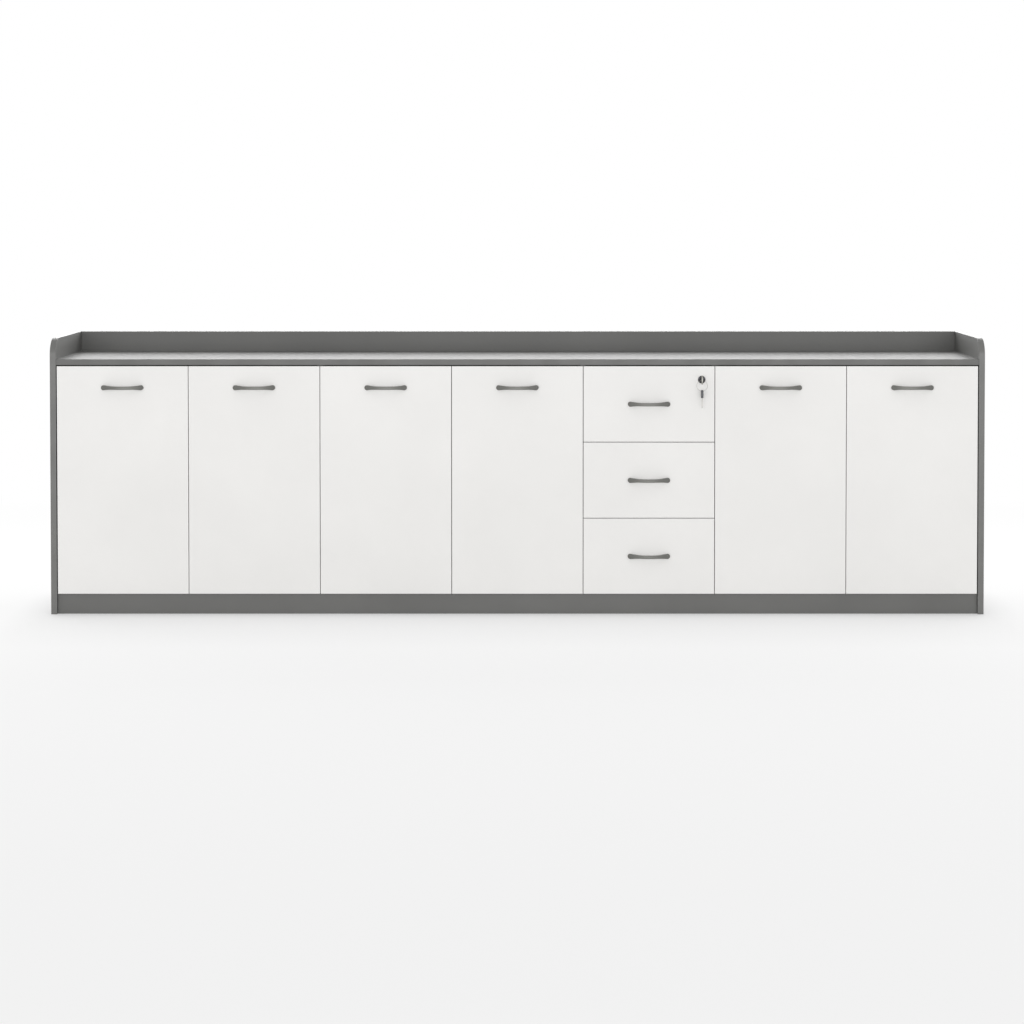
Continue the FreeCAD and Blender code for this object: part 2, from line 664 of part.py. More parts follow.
def hinge_arm(tag, board, way, z):
    """Hinge arm on its saddle, with the knuckle that reaches the cup of the closed door."""
    face = face_x(board, way)
    middle = f"({CARCASS_FRONT} + dim.plate_depth)"
    saddle_front = f"({middle} - dim.saddle_long / 2)"
    tip = f"({DOOR_BACK} + dim.flange_thickness + dim.arm_gap)"
    top = "(dim.saddle_high + dim.arm_thick)"
    cup = f"({door_edge_off_face(board)} + dim.cup_inset)"
    far = f"({cup} + dim.knuckle_wide / 2)"
    bottom = f"{z} - dim.arm_wide / 2"
    low, thick = span_from(face, way, "dim.saddle_high", top)
    long = f"dim.saddle_long + {saddle_front} - {tip} - dim.arm_gap"
    y = f"{tip} + dim.arm_gap"
    strip = block(f"{tag}_strip", low, y, bottom, thick, long, "dim.arm_wide")
    low, thick = span_from(face, way, "dim.saddle_high", far)
    run = f"({saddle_front} - {tip}) - dim.arm_gap"
    bottom = f"{z} - dim.knuckle_wide / 2"
    knuckle = block(f"{tag}_knuckle", low, tip, bottom, thick, run, "dim.knuckle_wide")
    return joined(f"{tag}_arm", [strip, knuckle])


def hinges():
    """The carcass halves of the door hinges."""
    plates, arms = [], []
    for index, (_, board, way) in enumerate(DOORS):
        for level, z in enumerate(hinge_heights()):
            tag = f"hinge_{index + 1}_{level}"
            plates.append(hinge_plate(tag, face_x(board, way), way, z))
            arms.append(hinge_arm(tag, board, way, z))
    node(group("plates", plates), "hinge_plates")
    node(group("arms", arms), "hinge_arms")


# --------------------------------------------------------------------------------------
# Handles.


def handle_outline(half, end, waist, waist_half):
    """Front outline of a handle: a waist that flares by tangent arcs into round ends."""
    centre = half - end
    flare = ((centre - waist_half) ** 2 + waist**2 - end**2) / (2 * (end - waist))
    away = math.hypot(centre - waist_half, waist + flare)
    touch_x = centre - end * (centre - waist_half) / away
    touch_z = end * (waist + flare) / away
    bend = math.asin((touch_x - waist_half) / flare) / 2
    mid_x = waist_half + flare * math.sin(bend)
    mid_z = waist + flare * (1 - math.cos(bend))

    def point(x, z):
        return FreeCAD.Vector(x, 0, z)

    edges = []
    for side in (1, -1):
        edges += [
            Part.LineSegment(point(-side * waist_half, side * waist), point(side * waist_half, side * waist)),
            Part.Arc(
                point(side * waist_half, side * waist),
                point(side * mid_x, side * mid_z),
                point(side * touch_x, side * touch_z),
            ),
            Part.Arc(
                point(side * touch_x, side * touch_z),
                point(side * half, 0),
                point(side * touch_x, -side * touch_z),
            ),
            Part.Arc(
                point(side * touch_x, -side * touch_z),
                point(side * mid_x, -side * mid_z),
                point(side * waist_half, -side * waist),
            ),
        ]
    return Part.Face(Part.Wire(Part.__sortEdges__([edge.toShape() for edge in edges])))


def handle_profile(half, overrun, reach, bow, grip, foot):
    """Plan profile of a handle: an outer curve over an inner one that ends at the feet.

    The outer curve runs past the ends by the overrun, where the outline trims it."""
    sweep = (half**2 + bow**2) / (2 * bow)
    wide = half + overrun
    drop = sweep - math.sqrt(sweep**2 - wide**2)
    tip = drop - reach
    inner = half - foot

    def point(x, y):
        return FreeCAD.Vector(x, y, 0)

    edges = [
        Part.Arc(point(-wide, tip), point(0, -reach), point(wide, tip)),
        Part.LineSegment(point(wide, tip), point(wide, 0)),
        Part.LineSegment(point(wide, 0), point(inner, 0)),
        Part.Arc(point(inner, 0), point(0, grip - reach), point(-inner, 0)),
        Part.LineSegment(point(-inner, 0), point(-wide, 0)),
        Part.LineSegment(point(-wide, 0), point(-wide, tip)),
    ]
    return Part.Face(Part.Wire([edge.toShape() for edge in edges]))


def handle_shape():
    """Bow handle with round ends, seen from the front as a bar with a slim waist."""
    half = sheet.get("handle_length") / 2
    end = sheet.get("handle_end_radius")
    reach = sheet.get("handle_reach")
    outline = handle_outline(half, end, sheet.get("handle_waist"), sheet.get("handle_waist_half"))
    profile = handle_profile(
        half,
        end / 4,
        reach,
        sheet.get("handle_bow_height"),
        sheet.get("handle_grip_thickness"),
        sheet.get("handle_foot_length"),
    )
    front_view = outline.extrude(FreeCAD.Vector(0, -2 * reach, 0))
    plan_view = profile.extrude(FreeCAD.Vector(0, 0, 4 * end))
    plan_view.translate(FreeCAD.Vector(0, 0, -2 * end))
    bar = front_view.common(plan_view)
    on_front = 0.01
    rounded = [edge for edge in bar.Edges if edge.BoundBox.YMin < -on_front and edge.BoundBox.ZLength > 0]
    rounded = [edge for edge in rounded if edge.BoundBox.XLength > on_front]
    bar = bar.makeFillet(sheet.get("handle_edge_radius"), rounded)

    hole = sheet.get("screw_radius") + sheet.get("screw_clearance")
    depth = sheet.get("screw_bite_length") + sheet.get("screw_clearance")
    for side in (-1, 1):
        start = FreeCAD.Vector(side * sheet.get("handle_spacing") / 2, 0, 0)
        bar = bar.cut(Part.makeCylinder(hole, depth, start, FreeCAD.Vector(0, -1, 0)))
    return bar.removeSplitter()


def handle(label, shape, x, z):
    """One handle, its middle at the given place on the front plane."""
    obj = doc.addObject("Part::Feature", f"{label}_bar")
    obj.Shape = shape
    obj.Placement = FreeCAD.Placement()
    bind(obj, x=x, y=FRONT, z=z)
    node(obj, label)


def handle_screws(tag, x, z, thickness, clearance, with_head):
    """Screws of one handle, or the holes they need in boards of the given thickness."""
    radius = f"dim.screw_radius + {clearance}"
    start = FRONT if not with_head else f"{FRONT} - dim.screw_bite_length"
    length = thickness if not with_head else f"dim.screw_bite_length + {thickness}"
    pieces = []
    for side in (-1, 1):
        at = f"{x} + {side} * {HANDLE_HALF}"
        name = f"{tag}_screw_{side + 1}"
        shank = rod(name, "Y", at, start, z, radius, length)
        if not with_head:
            pieces.append(shank)
            continue
        y = f"{FRONT} + {thickness}"
        head = rod(f"{name}_head", "Y", at, y, z, "dim.screw_head_radius", "dim.screw_head_high")
        pieces.append(joined(f"{name}_whole", [shank, head]))
    return pieces


# --------------------------------------------------------------------------------------
# Doors.


def hinge_cup(tag, x, z):
    """Pressed hinge cup in the back of a door, with its flange."""
    y = f"({DOOR_BACK} - dim.cup_depth)"
    outer = "(dim.cup_radius - dim.cup_clearance)"
    shell = rod(f"{tag}_shell", "Y", x, y, z, outer, "dim.cup_depth + dim.flange_thickness")
    rim_radius = "dim.cup_radius + dim.flange_overlap"
    rim = rod(f"{tag}_rim", "Y", x, DOOR_BACK, z, rim_radius, "dim.flange_thickness")
    left = f"{x} - dim.flange_wide / 2"
    bottom = f"{z} - dim.flange_tall / 2"
    ears = block(
        f"{tag}_ears", left, DOOR_BACK, bottom, "dim.flange_wide", "dim.flange_thickness", "dim.flange_tall"
    )
    hollow = rod(
        f"{tag}_hollow",
        "Y",
        x,
        f"{y} + dim.cup_wall",
        z,
        f"{outer} - dim.cup_wall",
        "dim.cup_depth + dim.flange_thickness",
    )
    return cut(f"{tag}_cup", joined(f"{tag}_pressed", [shell, rim, ears]), [hollow])


def doors(shape):
    """Six doors, each a panel, a handle and a set of fittings."""
    for index, (column, board, way) in enumerate(DOORS):
        number = index + 1
        left = column_left(column)
        middle = f"({left} + {FRONT_WIDTH} / 2)"
        cup_x = f"({face_x(board, way)} + {way} * ({door_edge_off_face(board)} + dim.cup_inset))"
        handle_z = f"({FRONT_TOP} - dim.handle_drop)"
        panel = block(
            f"door_{number}_board",
            left,
            FRONT,
            "dim.kick_height",
            FRONT_WIDTH,
            "dim.front_thickness",
            FRONT_HEIGHT,
        )
        tools = handle_screws(
            f"door_{number}_hole", middle, handle_z, "dim.front_thickness", "dim.screw_clearance", False
        )
        fittings = handle_screws(
            f"door_{number}", middle, handle_z, "dim.front_thickness", "0", True
        )
        for level, z in enumerate(hinge_heights()):
            pocket_y = f"{DOOR_BACK} - dim.cup_depth"
            name = f"door_{number}_pocket_{level}"
            tools.append(rod(name, "Y", cup_x, pocket_y, z, "dim.cup_radius", "dim.cup_depth"))
            fittings.append(hinge_cup(f"door_{number}_{level}", cup_x, z))
        node(cut(f"door_{number}_cut", panel, tools), f"door_panel_{number}")
        node(group(f"door_{number}_fittings", fittings), f"door_fittings_{number}")
        handle(f"door_handle_{number}", shape, middle, handle_z)


# --------------------------------------------------------------------------------------
# Drawers.


# Slide members: offsets of the web's two faces and of the lips' edge from the board's
# face, and half the height. The inner member's lips point back at the board.
SLIDE_MEMBERS = {
    "outer": ("0", "dim.slide_sheet_thickness", "dim.outer_flange", "dim.slide_height / 2"),
    "middle": (
        "(dim.slide_sheet_thickness + dim.slide_web_gap)",
        "(2 * dim.slide_sheet_thickness + dim.slide_web_gap)",
        "(dim.outer_flange + dim.slide_web_gap)",
        "dim.slide_height / 2 - dim.slide_sheet_thickness - dim.slide_play",
    ),
    "inner": (
        "(dim.slide_space - dim.slide_sheet_thickness)",
        "dim.slide_space",
        "(dim.slide_space - dim.inner_flange)",
        "dim.slide_height / 2 - 2 * dim.slide_sheet_thickness - 2 * dim.slide_play",
    ),
}


def channel(tag, member, face, way, y, z):
    """One slide member: an upright web with a lip along each edge."""
    web_near, web_far, lips, half_height = SLIDE_MEMBERS[member]
    if member == "inner":
        near, far, open_near, open_far = lips, web_far, lips, web_near
    else:
        near, far, open_near, open_far = web_near, lips, web_far, lips
    low, across = span_from(face, way, near, far)
    bottom = f"{z} - ({half_height})"
    outside = block(f"{tag}_out", low, y, bottom, across, SLIDE_LENGTH, f"2 * ({half_height})")
    low, across = span_from(face, way, open_near, open_far)
    bottom = f"{z} - ({half_height}) + dim.slide_sheet_thickness"
    high = f"2 * ({half_height}) - 2 * dim.slide_sheet_thickness"
    inside = block(f"{tag}_in", low, y, bottom, across, SLIDE_LENGTH, high)
    return cut(tag, outside, [inside])


def slide_members(member, number):
    """The left and the right slide member of one drawer."""
    y = f"{FRONT} + dim.slide_start"
    z = f"{box_bottom(number)} + dim.slide_rise"
    members = []
    for board, way in ((DRAWER_BAY_LEFT, LEFT), (DRAWER_BAY_RIGHT, RIGHT)):
        tag = f"{member}_{number}_{board}"
        members.append(channel(tag, member, face_x(board, way), way, y, z))
    return members


def drawer_box(number):
    """Drawer box: two sides, a front, a back and a bottom board."""
    left = f"({face_x(DRAWER_BAY_LEFT, LEFT)} + dim.slide_space)"
    right = f"({face_x(DRAWER_BAY_RIGHT, RIGHT)} - dim.slide_space)"
    inner_left = f"({left} + dim.box_board_thickness)"
    inner = f"({right} - {left} - 2 * dim.box_board_thickness)"
    z = box_bottom(number)
    tag = f"box_{number}"
    inner_y = f"{DOOR_BACK} + dim.box_board_thickness"
    inner_deep = f"{BOX_DEPTH} - 2 * dim.box_board_thickness"
    back_y = f"{DOOR_BACK} + {BOX_DEPTH} - dim.box_board_thickness"
    boards = []
    for side, x in enumerate((left, f"{right} - dim.box_board_thickness")):
        name = f"{tag}_side_{side}"
        boards.append(block(name, x, DOOR_BACK, z, "dim.box_board_thickness", BOX_DEPTH, BOX_HEIGHT))
    front = block(f"{tag}_front", inner_left, DOOR_BACK, z, inner, "dim.box_board_thickness", BOX_HEIGHT)
    thickness = "(dim.front_thickness + dim.box_board_thickness)"
    middle, height = drawer_handle_place(number)
    holes = handle_screws(
        f"{tag}_hole", middle, height, thickness, "dim.screw_clearance", False
    )
    boards.append(cut(f"{tag}_front_cut", front, holes))
    boards.append(
        block(f"{tag}_back", inner_left, back_y, z, inner, "dim.box_board_thickness", BOX_HEIGHT)
    )
    bottom_z = f"{z} + dim.box_bottom_rise"
    boards.append(
        block(f"{tag}_bottom", inner_left, inner_y, bottom_z, inner, inner_deep, "dim.box_bottom_thickness")
    )
    return group(f"{tag}_boards", boards)


def drawer_handle_place(number):
    """X and Z of the middle of a drawer's handle, in the middle of its front."""
    middle = f"({column_left(DRAWER_COLUMN)} + {FRONT_WIDTH} / 2)"
    return middle, f"({drawer_bottom(number)} + {DRAWER_HEIGHT} / 2)"


def peg_height(number):
    """Z of the middle of a drawer's locking peg."""
    return f"({box_bottom(number)} + {BOX_HEIGHT} - dim.peg_drop)"


def locking_peg(number):
    """Steel peg on the right-hand side of a drawer box, caught by a finger of the lock bar."""
    face = face_x(DRAWER_BAY_RIGHT, RIGHT)
    near = "(dim.bar_thick + dim.peg_end_gap)"
    low, length = span_from(face, RIGHT, near, "dim.slide_space")
    y = f"{FRONT} + dim.peg_depth"
    return rod(f"peg_{number}", "X", low, y, peg_height(number), "dim.peg_radius", length)


def drawers(shape):
    """Three drawers, each a front, a handle, a box and its steel fittings."""
    outer = []
    for number in range(1, DRAWERS + 1):
        middle, height = drawer_handle_place(number)
        front = block(
            f"drawer_{number}_board",
            column_left(DRAWER_COLUMN),
            FRONT,
            drawer_bottom(number),
            FRONT_WIDTH,
            "dim.front_thickness",
            DRAWER_HEIGHT,
        )
        tools = handle_screws(
            f"drawer_{number}_hole", middle, height, "dim.front_thickness", "dim.screw_clearance", False
        )
        if number == 1:
            radius = "dim.barrel_radius + dim.barrel_clearance"
            length = "dim.front_thickness"
            tools.append(rod("lock_hole", "Y", LOCK_X, FRONT, LOCK_Z, radius, length))
        node(cut(f"drawer_{number}_cut", front, tools), f"drawer_front_{number}")
        node(drawer_box(number), f"drawer_box_{number}")
        thickness = "(dim.front_thickness + dim.box_board_thickness)"
        fittings = handle_screws(f"drawer_{number}", middle, height, thickness, "0", True)
        fittings += slide_members("inner", number)
        fittings.append(locking_peg(number))
        node(group(f"drawer_{number}_fittings", fittings), f"drawer_fittings_{number}")
        middles = slide_members("middle", number)
        node(group(f"middles_{number}", middles), f"slide_middle_{number}")
        handle(f"drawer_handle_{number}", shape, middle, height)
        outer += slide_members("outer", number)
    node(group("outers", outer), "slide_outer_members")


# --------------------------------------------------------------------------------------
# Lock.


def lock_housing():
    """Lock housing in the top drawer front, with its rosette."""
    y = f"{FRONT} - dim.rosette_thick"
    rosette = rod("rosette", "Y", LOCK_X, y, LOCK_Z, "dim.rosette_radius", "dim.rosette_thick")
    barrel = rod("barrel", "Y", LOCK_X, FRONT, LOCK_Z, "dim.barrel_radius", "dim.barrel_length")
    length = "dim.rosette_thick + dim.barrel_length"
    bore = rod("barrel_bore", "Y", LOCK_X, y, LOCK_Z, "dim.plug_radius + dim.fit_clearance", length)
    whole = joined("housing_whole", [rosette, barrel])
    node(cut("housing", whole, [bore]), "lock_housing")


def lock_plug():
    """Lock plug with its keyway, the disc behind the housing and the eccentric throw pin."""
    start = f"{FRONT} - dim.plug_proud"
    disc_y = f"({FRONT} + dim.barrel_length + dim.plug_disc_gap)"
    length = f"{disc_y} - ({start})"
    core = rod("plug_core", "Y", LOCK_X, start, LOCK_Z, "dim.plug_radius", length)
    disc = rod("plug_disc", "Y", LOCK_X, disc_y, LOCK_Z, "dim.plug_disc_radius", "dim.plug_disc_thick")
    pin_x = f"{LOCK_X} - {THROW_LEFT}"
    pin_z = f"{LOCK_Z} - {THROW_DOWN}"
    pin_long = "dim.plug_disc_thick + dim.throw_pin_long"
    pin = rod("throw_pin", "Y", pin_x, disc_y, pin_z, "dim.throw_pin_radius", pin_long)
    keyway = block(
        "keyway",
        f"{LOCK_X} - dim.blade_thick / 2 - dim.blade_play",
        start,
        f"{LOCK_Z} - dim.blade_wide / 2 - dim.blade_play",
        "dim.blade_thick + 2 * dim.blade_play",
        "dim.plug_proud + dim.blade_sunk",
        "dim.blade_wide + 2 * dim.blade_play",
    )
    node(cut("plug", joined("plug_whole", [core, disc, pin]), [keyway]), "lock_plug")


def lock_key():
    """The key in the lock: its head stands upright, square to the front."""
    y = f"{FRONT} - dim.key_reach"
    deep = "(dim.key_reach - dim.key_head_start)"
    left = f"{LOCK_X} - dim.key_thick / 2"
    high = f"dim.key_tall / 2 - {deep} / 2"
    pieces = [block("key_core", left, y, f"{LOCK_Z} - ({high})", "dim.key_thick", deep, f"2 * ({high})")]
    for side, sign in (("low", -1), ("high", 1)):
        z = f"{LOCK_Z} + {sign} * ({high})"
        centre = f"{y} + {deep} / 2"
        pieces.append(rod(f"key_{side}", "X", left, centre, z, f"{deep} / 2", "dim.key_thick"))
    blade = block(
        "key_blade",
        f"{LOCK_X} - dim.blade_thick / 2",
        f"{FRONT} - dim.key_head_start - dim.blade_thick",
        f"{LOCK_Z} - dim.blade_wide / 2",
        "dim.blade_thick",
        "dim.key_head_start + dim.blade_thick + dim.blade_sunk",
        "dim.blade_wide",
    )
    hole_y = f"{FRONT} - dim.key_hole_depth"
    hole = rod("key_eye", "X", left, hole_y, LOCK_Z, "dim.key_hole_radius", "dim.key_thick")
    whole = joined("key_whole", pieces + [blade])
    node(cut("key", whole, [hole]), "lock_key")


RING_TOP = f"({LOCK_Z} - (dim.key_hole_radius - dim.ring_wire_radius - dim.ring_play))"
SPARE_HOLE = (
    f"({RING_TOP} - 2 * dim.ring_radius - (dim.key_hole_radius - dim.ring_wire_radius - dim.ring_play))"
)


def key_ring():
    """Thin wire ring through both key heads."""
    ring = doc.addObject("Part::Torus", "ring")
    ring.Placement = FreeCAD.Placement(FreeCAD.Vector(), TURN["Y"])
    bind(ring, Radius1="dim.ring_radius", Radius2="dim.ring_wire_radius")
    bind(ring, x=LOCK_X, y=f"{FRONT} - dim.key_hole_depth", z=f"{RING_TOP} - dim.ring_radius")
    node(ring, "key_ring")


def spare_key():
    """The spare key that hangs from the ring."""
    y = f"({FRONT} - dim.key_hole_depth)"
    left = f"{LOCK_X} - dim.spare_thick / 2"
    top = f"({SPARE_HOLE} + dim.spare_hole_drop)"
    bend = "(dim.spare_wide / 2)"
    straight = f"(dim.spare_tall - 2 * {bend})"
    core = block(
        "spare_core",
        left,
        f"{y} - {bend}",
        f"{top} - {bend} - {straight}",
        "dim.spare_thick",
        "dim.spare_wide",
        straight,
    )
    upper = rod("spare_upper", "X", left, y, f"{top} - {bend}", bend, "dim.spare_thick")
    lower_z = f"{top} - dim.spare_tall + {bend}"
    lower = rod("spare_lower", "X", left, y, lower_z, bend, "dim.spare_thick")
    blade = block(
        "spare_blade",
        f"{LOCK_X} - dim.blade_thick / 2",
        f"{y} - dim.blade_wide / 2",
        f"{top} - dim.spare_tall - dim.spare_blade",
        "dim.blade_thick",
        "dim.blade_wide",
        f"dim.spare_blade + {bend}",
    )
    hole = rod("spare_eye", "X", left, y, SPARE_HOLE, "dim.key_hole_radius", "dim.spare_thick")
    whole = joined("spare_whole", [core, upper, lower, blade])
    node(cut("spare", whole, [hole]), "spare_key")


def lock_bar():
    """Sliding strip on the divider: a slotted tab for the plug's pin, and a welded finger
    for each drawer."""
    face = face_x(DRAWER_BAY_RIGHT, RIGHT)
    pin_z = f"({LOCK_Z} - {THROW_DOWN})"
    low, thick = span_from(face, RIGHT, "0", "dim.bar_thick")
    strip_y = f"{FRONT} + dim.bar_start"
    high = f"{pin_z} + dim.tab_high / 2 - dim.bar_foot_height"
    pieces = [block("bar_strip", low, strip_y, "dim.bar_foot_height", thick, "dim.bar_wide", high)]
    slot_half = "(dim.throw_pin_radius + dim.throw_slot_play)"
    slot_left = f"({LOCK_X} - dim.throw_radius - {slot_half})"
    slot_right = f"({LOCK_X} - {THROW_LEFT} + {slot_half})"
    tab_left = f"({slot_left} - dim.tab_edge)"
    tab_y = f"{FRONT} + dim.tab_start"
    tab_z = f"{pin_z} - dim.tab_high / 2"
    tab_long = f"{face} - {tab_left}"
    pieces.append(block("bar_tab", tab_left, tab_y, tab_z, tab_long, "dim.tab_thick", "dim.tab_high"))
    finger_y = f"{FRONT} + dim.peg_depth - dim.peg_radius - dim.finger_gap - dim.tab_thick"
    far = "(dim.bar_thick + dim.finger_long)"
    fingers = []
    for number in range(1, DRAWERS + 1):
        low, length = span_from(face, RIGHT, "dim.bar_thick", far)
        z = f"{peg_height(number)} - dim.peg_radius - dim.finger_drop - dim.finger_high"
        name = f"bar_finger_{number}"
        fingers.append(block(name, low, finger_y, z, length, "dim.tab_thick", "dim.finger_high"))
    tools = [
        block(
            "bar_slot",
            slot_left,
            tab_y,
            f"{pin_z} - {slot_half}",
            f"{slot_right} - {slot_left}",
            "dim.tab_thick",
            f"2 * {slot_half}",
        )
    ]
    guide_y = f"{FRONT} + dim.bar_start + dim.bar_wide / 2"
    radius = "(dim.guide_radius + dim.guide_play)"
    low, thick = span_from(face, RIGHT, "0", "dim.bar_thick")
    for index, z in enumerate(guide_heights()):
        foot = f"{z} - dim.guide_travel"
        side = f"{guide_y} - {radius}"
        tools.append(rod(f"bar_guide_low_{index}", "X", low, guide_y, foot, radius, thick))
        tools.append(rod(f"bar_guide_high_{index}", "X", low, guide_y, z, radius, thick))
        name = f"bar_guide_{index}"
        tools.append(block(name, low, side, foot, thick, f"2 * {radius}", "dim.guide_travel"))
    strip = cut("bar_cut", joined("bar_whole", pieces), [joined("bar_openings", tools)])
    node(group("bar_with_fingers", [strip] + fingers), "lock_bar")


# --------------------------------------------------------------------------------------


def check_document():
    """Stop if any object failed or any sub-part is missing, broken or not a solid."""
    faults = []
    for obj in doc.Objects:
        if "Invalid" in obj.State or "Error" in obj.State:
            faults.append(f"{obj.Label}: {obj.State}")
    for obj in nodes:
        shape = obj.Shape
        if shape.isNull() or not shape.isValid() or not shape.Solids:
            faults.append(f"{obj.Label}: bad shape")
    if len({obj.Label for obj in nodes}) != len(nodes):
        faults.append("two sub-parts share a name")
    if faults:
        sys.exit("\n".join(faults))


def export_nodes():
    """Write each sub-part to its own file."""
    os.makedirs("parts", exist_ok=True)
    for obj in nodes:
        obj.Shape.exportStep(os.path.join("parts", f"{obj.Label}.step"))
        print(f"{obj.Label}: {len(obj.Shape.Solids)} solids, {obj.Shape.Volume / 1000:.1f} cm3")
    print(f"{len(nodes)} sub-parts")


def build():
    """Make every sub-part, recompute, check and export."""
    fill_sheet()
    end_panels()
    carcass_boards()
    dividers()
    shelves()
    hinges()
    carcass_fasteners()
    buffers()
    bow_handle = handle_shape()
    doors(bow_handle)
    drawers(bow_handle)
    lock_housing()
    lock_plug()
    lock_key()
    key_ring()
    spare_key()
    lock_bar()
    doc.recompute()
    check_document()
    export_nodes()


build()
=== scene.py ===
"""Dresses the office credenza: boards, fronts, handles, hinges, slides, lock and keys."""
import logging
import math
from contextlib import contextmanager
from dataclasses import dataclass
from enum import Enum
from typing import Any, Callable, Iterator, Sequence

import bmesh
import bpy
from mathutils import Matrix, Vector


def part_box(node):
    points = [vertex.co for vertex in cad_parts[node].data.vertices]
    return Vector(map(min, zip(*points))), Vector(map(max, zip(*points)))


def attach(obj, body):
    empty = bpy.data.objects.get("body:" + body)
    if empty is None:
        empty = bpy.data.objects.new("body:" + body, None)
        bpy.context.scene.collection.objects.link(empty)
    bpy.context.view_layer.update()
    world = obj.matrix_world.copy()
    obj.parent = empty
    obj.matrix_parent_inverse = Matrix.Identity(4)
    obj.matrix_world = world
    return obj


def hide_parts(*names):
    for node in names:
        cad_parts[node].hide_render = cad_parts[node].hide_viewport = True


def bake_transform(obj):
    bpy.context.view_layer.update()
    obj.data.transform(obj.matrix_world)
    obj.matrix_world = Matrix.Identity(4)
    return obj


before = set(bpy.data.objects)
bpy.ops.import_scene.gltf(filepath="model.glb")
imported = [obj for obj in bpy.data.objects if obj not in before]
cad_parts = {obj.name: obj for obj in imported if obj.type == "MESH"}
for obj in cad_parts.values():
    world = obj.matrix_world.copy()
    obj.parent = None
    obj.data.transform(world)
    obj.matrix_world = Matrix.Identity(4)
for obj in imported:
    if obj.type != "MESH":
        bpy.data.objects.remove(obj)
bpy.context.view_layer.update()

log = logging.getLogger("credenza")

Test = Callable[[Any], bool]
Box = tuple[Vector, Vector]
Point = tuple[float, float, float]

MM = 0.001
SAME_POINT = 0.002 * MM
SHARP_TURN = math.radians(30)
FLAT_TURN = math.radians(0.5)
NEARLY_ALL = 0.99
NOISE_MIDDLE = {"From Min": 0.3, "From Max": 0.7}
UP = Vector((0, 0, 1))
LEFT = Vector((-1, 0, 0))
RIGHT = Vector((1, 0, 0))
FORWARD = Vector((0, -1, 0))
BACKWARD = Vector((0, 1, 0))
UPRIGHTS = ("left_end_panel", "divider_1", "divider_2", "divider_3", "right_end_panel")
DOORS = range(1, 7)
DRAWERS = range(1, 4)


class Axis(Enum):
    """The three axes of the shared frame."""

    X = 0
    Y = 1
    Z = 2


class Pick(Enum):
    """What is selected in edit mode."""

    EDGES = "EDGE"
    FACES = "FACE"


class Merge(Enum):
    """What a second shape does to a first one."""

    CUT = "DIFFERENCE"
    WELD = "UNION"


class Slot(Enum):
    """Material slots of the record."""

    CARCASS = "carcass_board"
    FRONT = "front_board"
    BACK = "back_board"
    DRAWER = "drawer_board"
    HANDLE = "handle_zinc"
    HINGE = "hinge_steel"
    SLIDE = "slide_steel"
    FASTENER = "fastener_steel"
    LOCK = "lock_chrome"
    KEY = "key_plastic"
    BUFFER = "buffer_rubber"


# --------------------------------------------------------------------------------------
# Finishes.


def linear(hex_colour: str) -> tuple[float, float, float, float]:
    """Turn an sRGB hex colour into linear light.

    Args:
        hex_colour: Colour such as "#EBEBEA".

    Returns:
        Linear red, green, blue and an alpha of 1.
    """
    channels = [int(hex_colour[place : place + 2], 16) / 255 for place in (1, 3, 5)]
    light = [c / 12.92 if c <= 0.04045 else ((c + 0.055) / 1.055) ** 2.4 for c in channels]
    return (light[0], light[1], light[2], 1.0)


def add_node(
    tree: bpy.types.NodeTree,
    kind: str,
    settings: dict[str, Any] | None = None,
    inputs: dict[str | int, Any] | None = None,
) -> bpy.types.Node:
    """Add a shader node with its settings and its inputs.

    Args:
        tree: Node tree that gets the node.
        kind: Type name of the node.
        settings: Properties of the node by name.
        inputs: A value or a socket to link for each input, by name or number.

    Returns:
        The new node.
    """
    made = tree.nodes.new(kind)
    for key, value in (settings or {}).items():
        setattr(made, key, value)
    for key, value in (inputs or {}).items():
        if isinstance(value, bpy.types.NodeSocket):
            tree.links.new(value, made.inputs[key])
        else:
            made.inputs[key].default_value = value
    return made


@dataclass(frozen=True)
class Grain:
    """Noise whose spots have a real size in metres and are drawn out along some axes."""

    size: float
    detail: float = 2.0
    stretch: Point = (1, 1, 1)

    def value(self, tree: bpy.types.NodeTree) -> bpy.types.NodeSocket:
        """Draw the noise on Object coordinates.

        Args:
            tree: Node tree that gets the noise.

        Returns:
            The noise's value, from 0 to 1.
        """
        place = add_node(tree, "ShaderNodeTexCoord").outputs["Object"]
        scale = [1 / (self.size * long) for long in self.stretch]
        spots = add_node(tree, "ShaderNodeMapping", {}, {"Vector": place, "Scale": scale})
        inputs = {"Vector": spots.outputs["Vector"], "Scale": 1.0, "Detail": self.detail, "Roughness": 0.5}
        return add_node(tree, "ShaderNodeTexNoise", {}, inputs).outputs["Fac"]


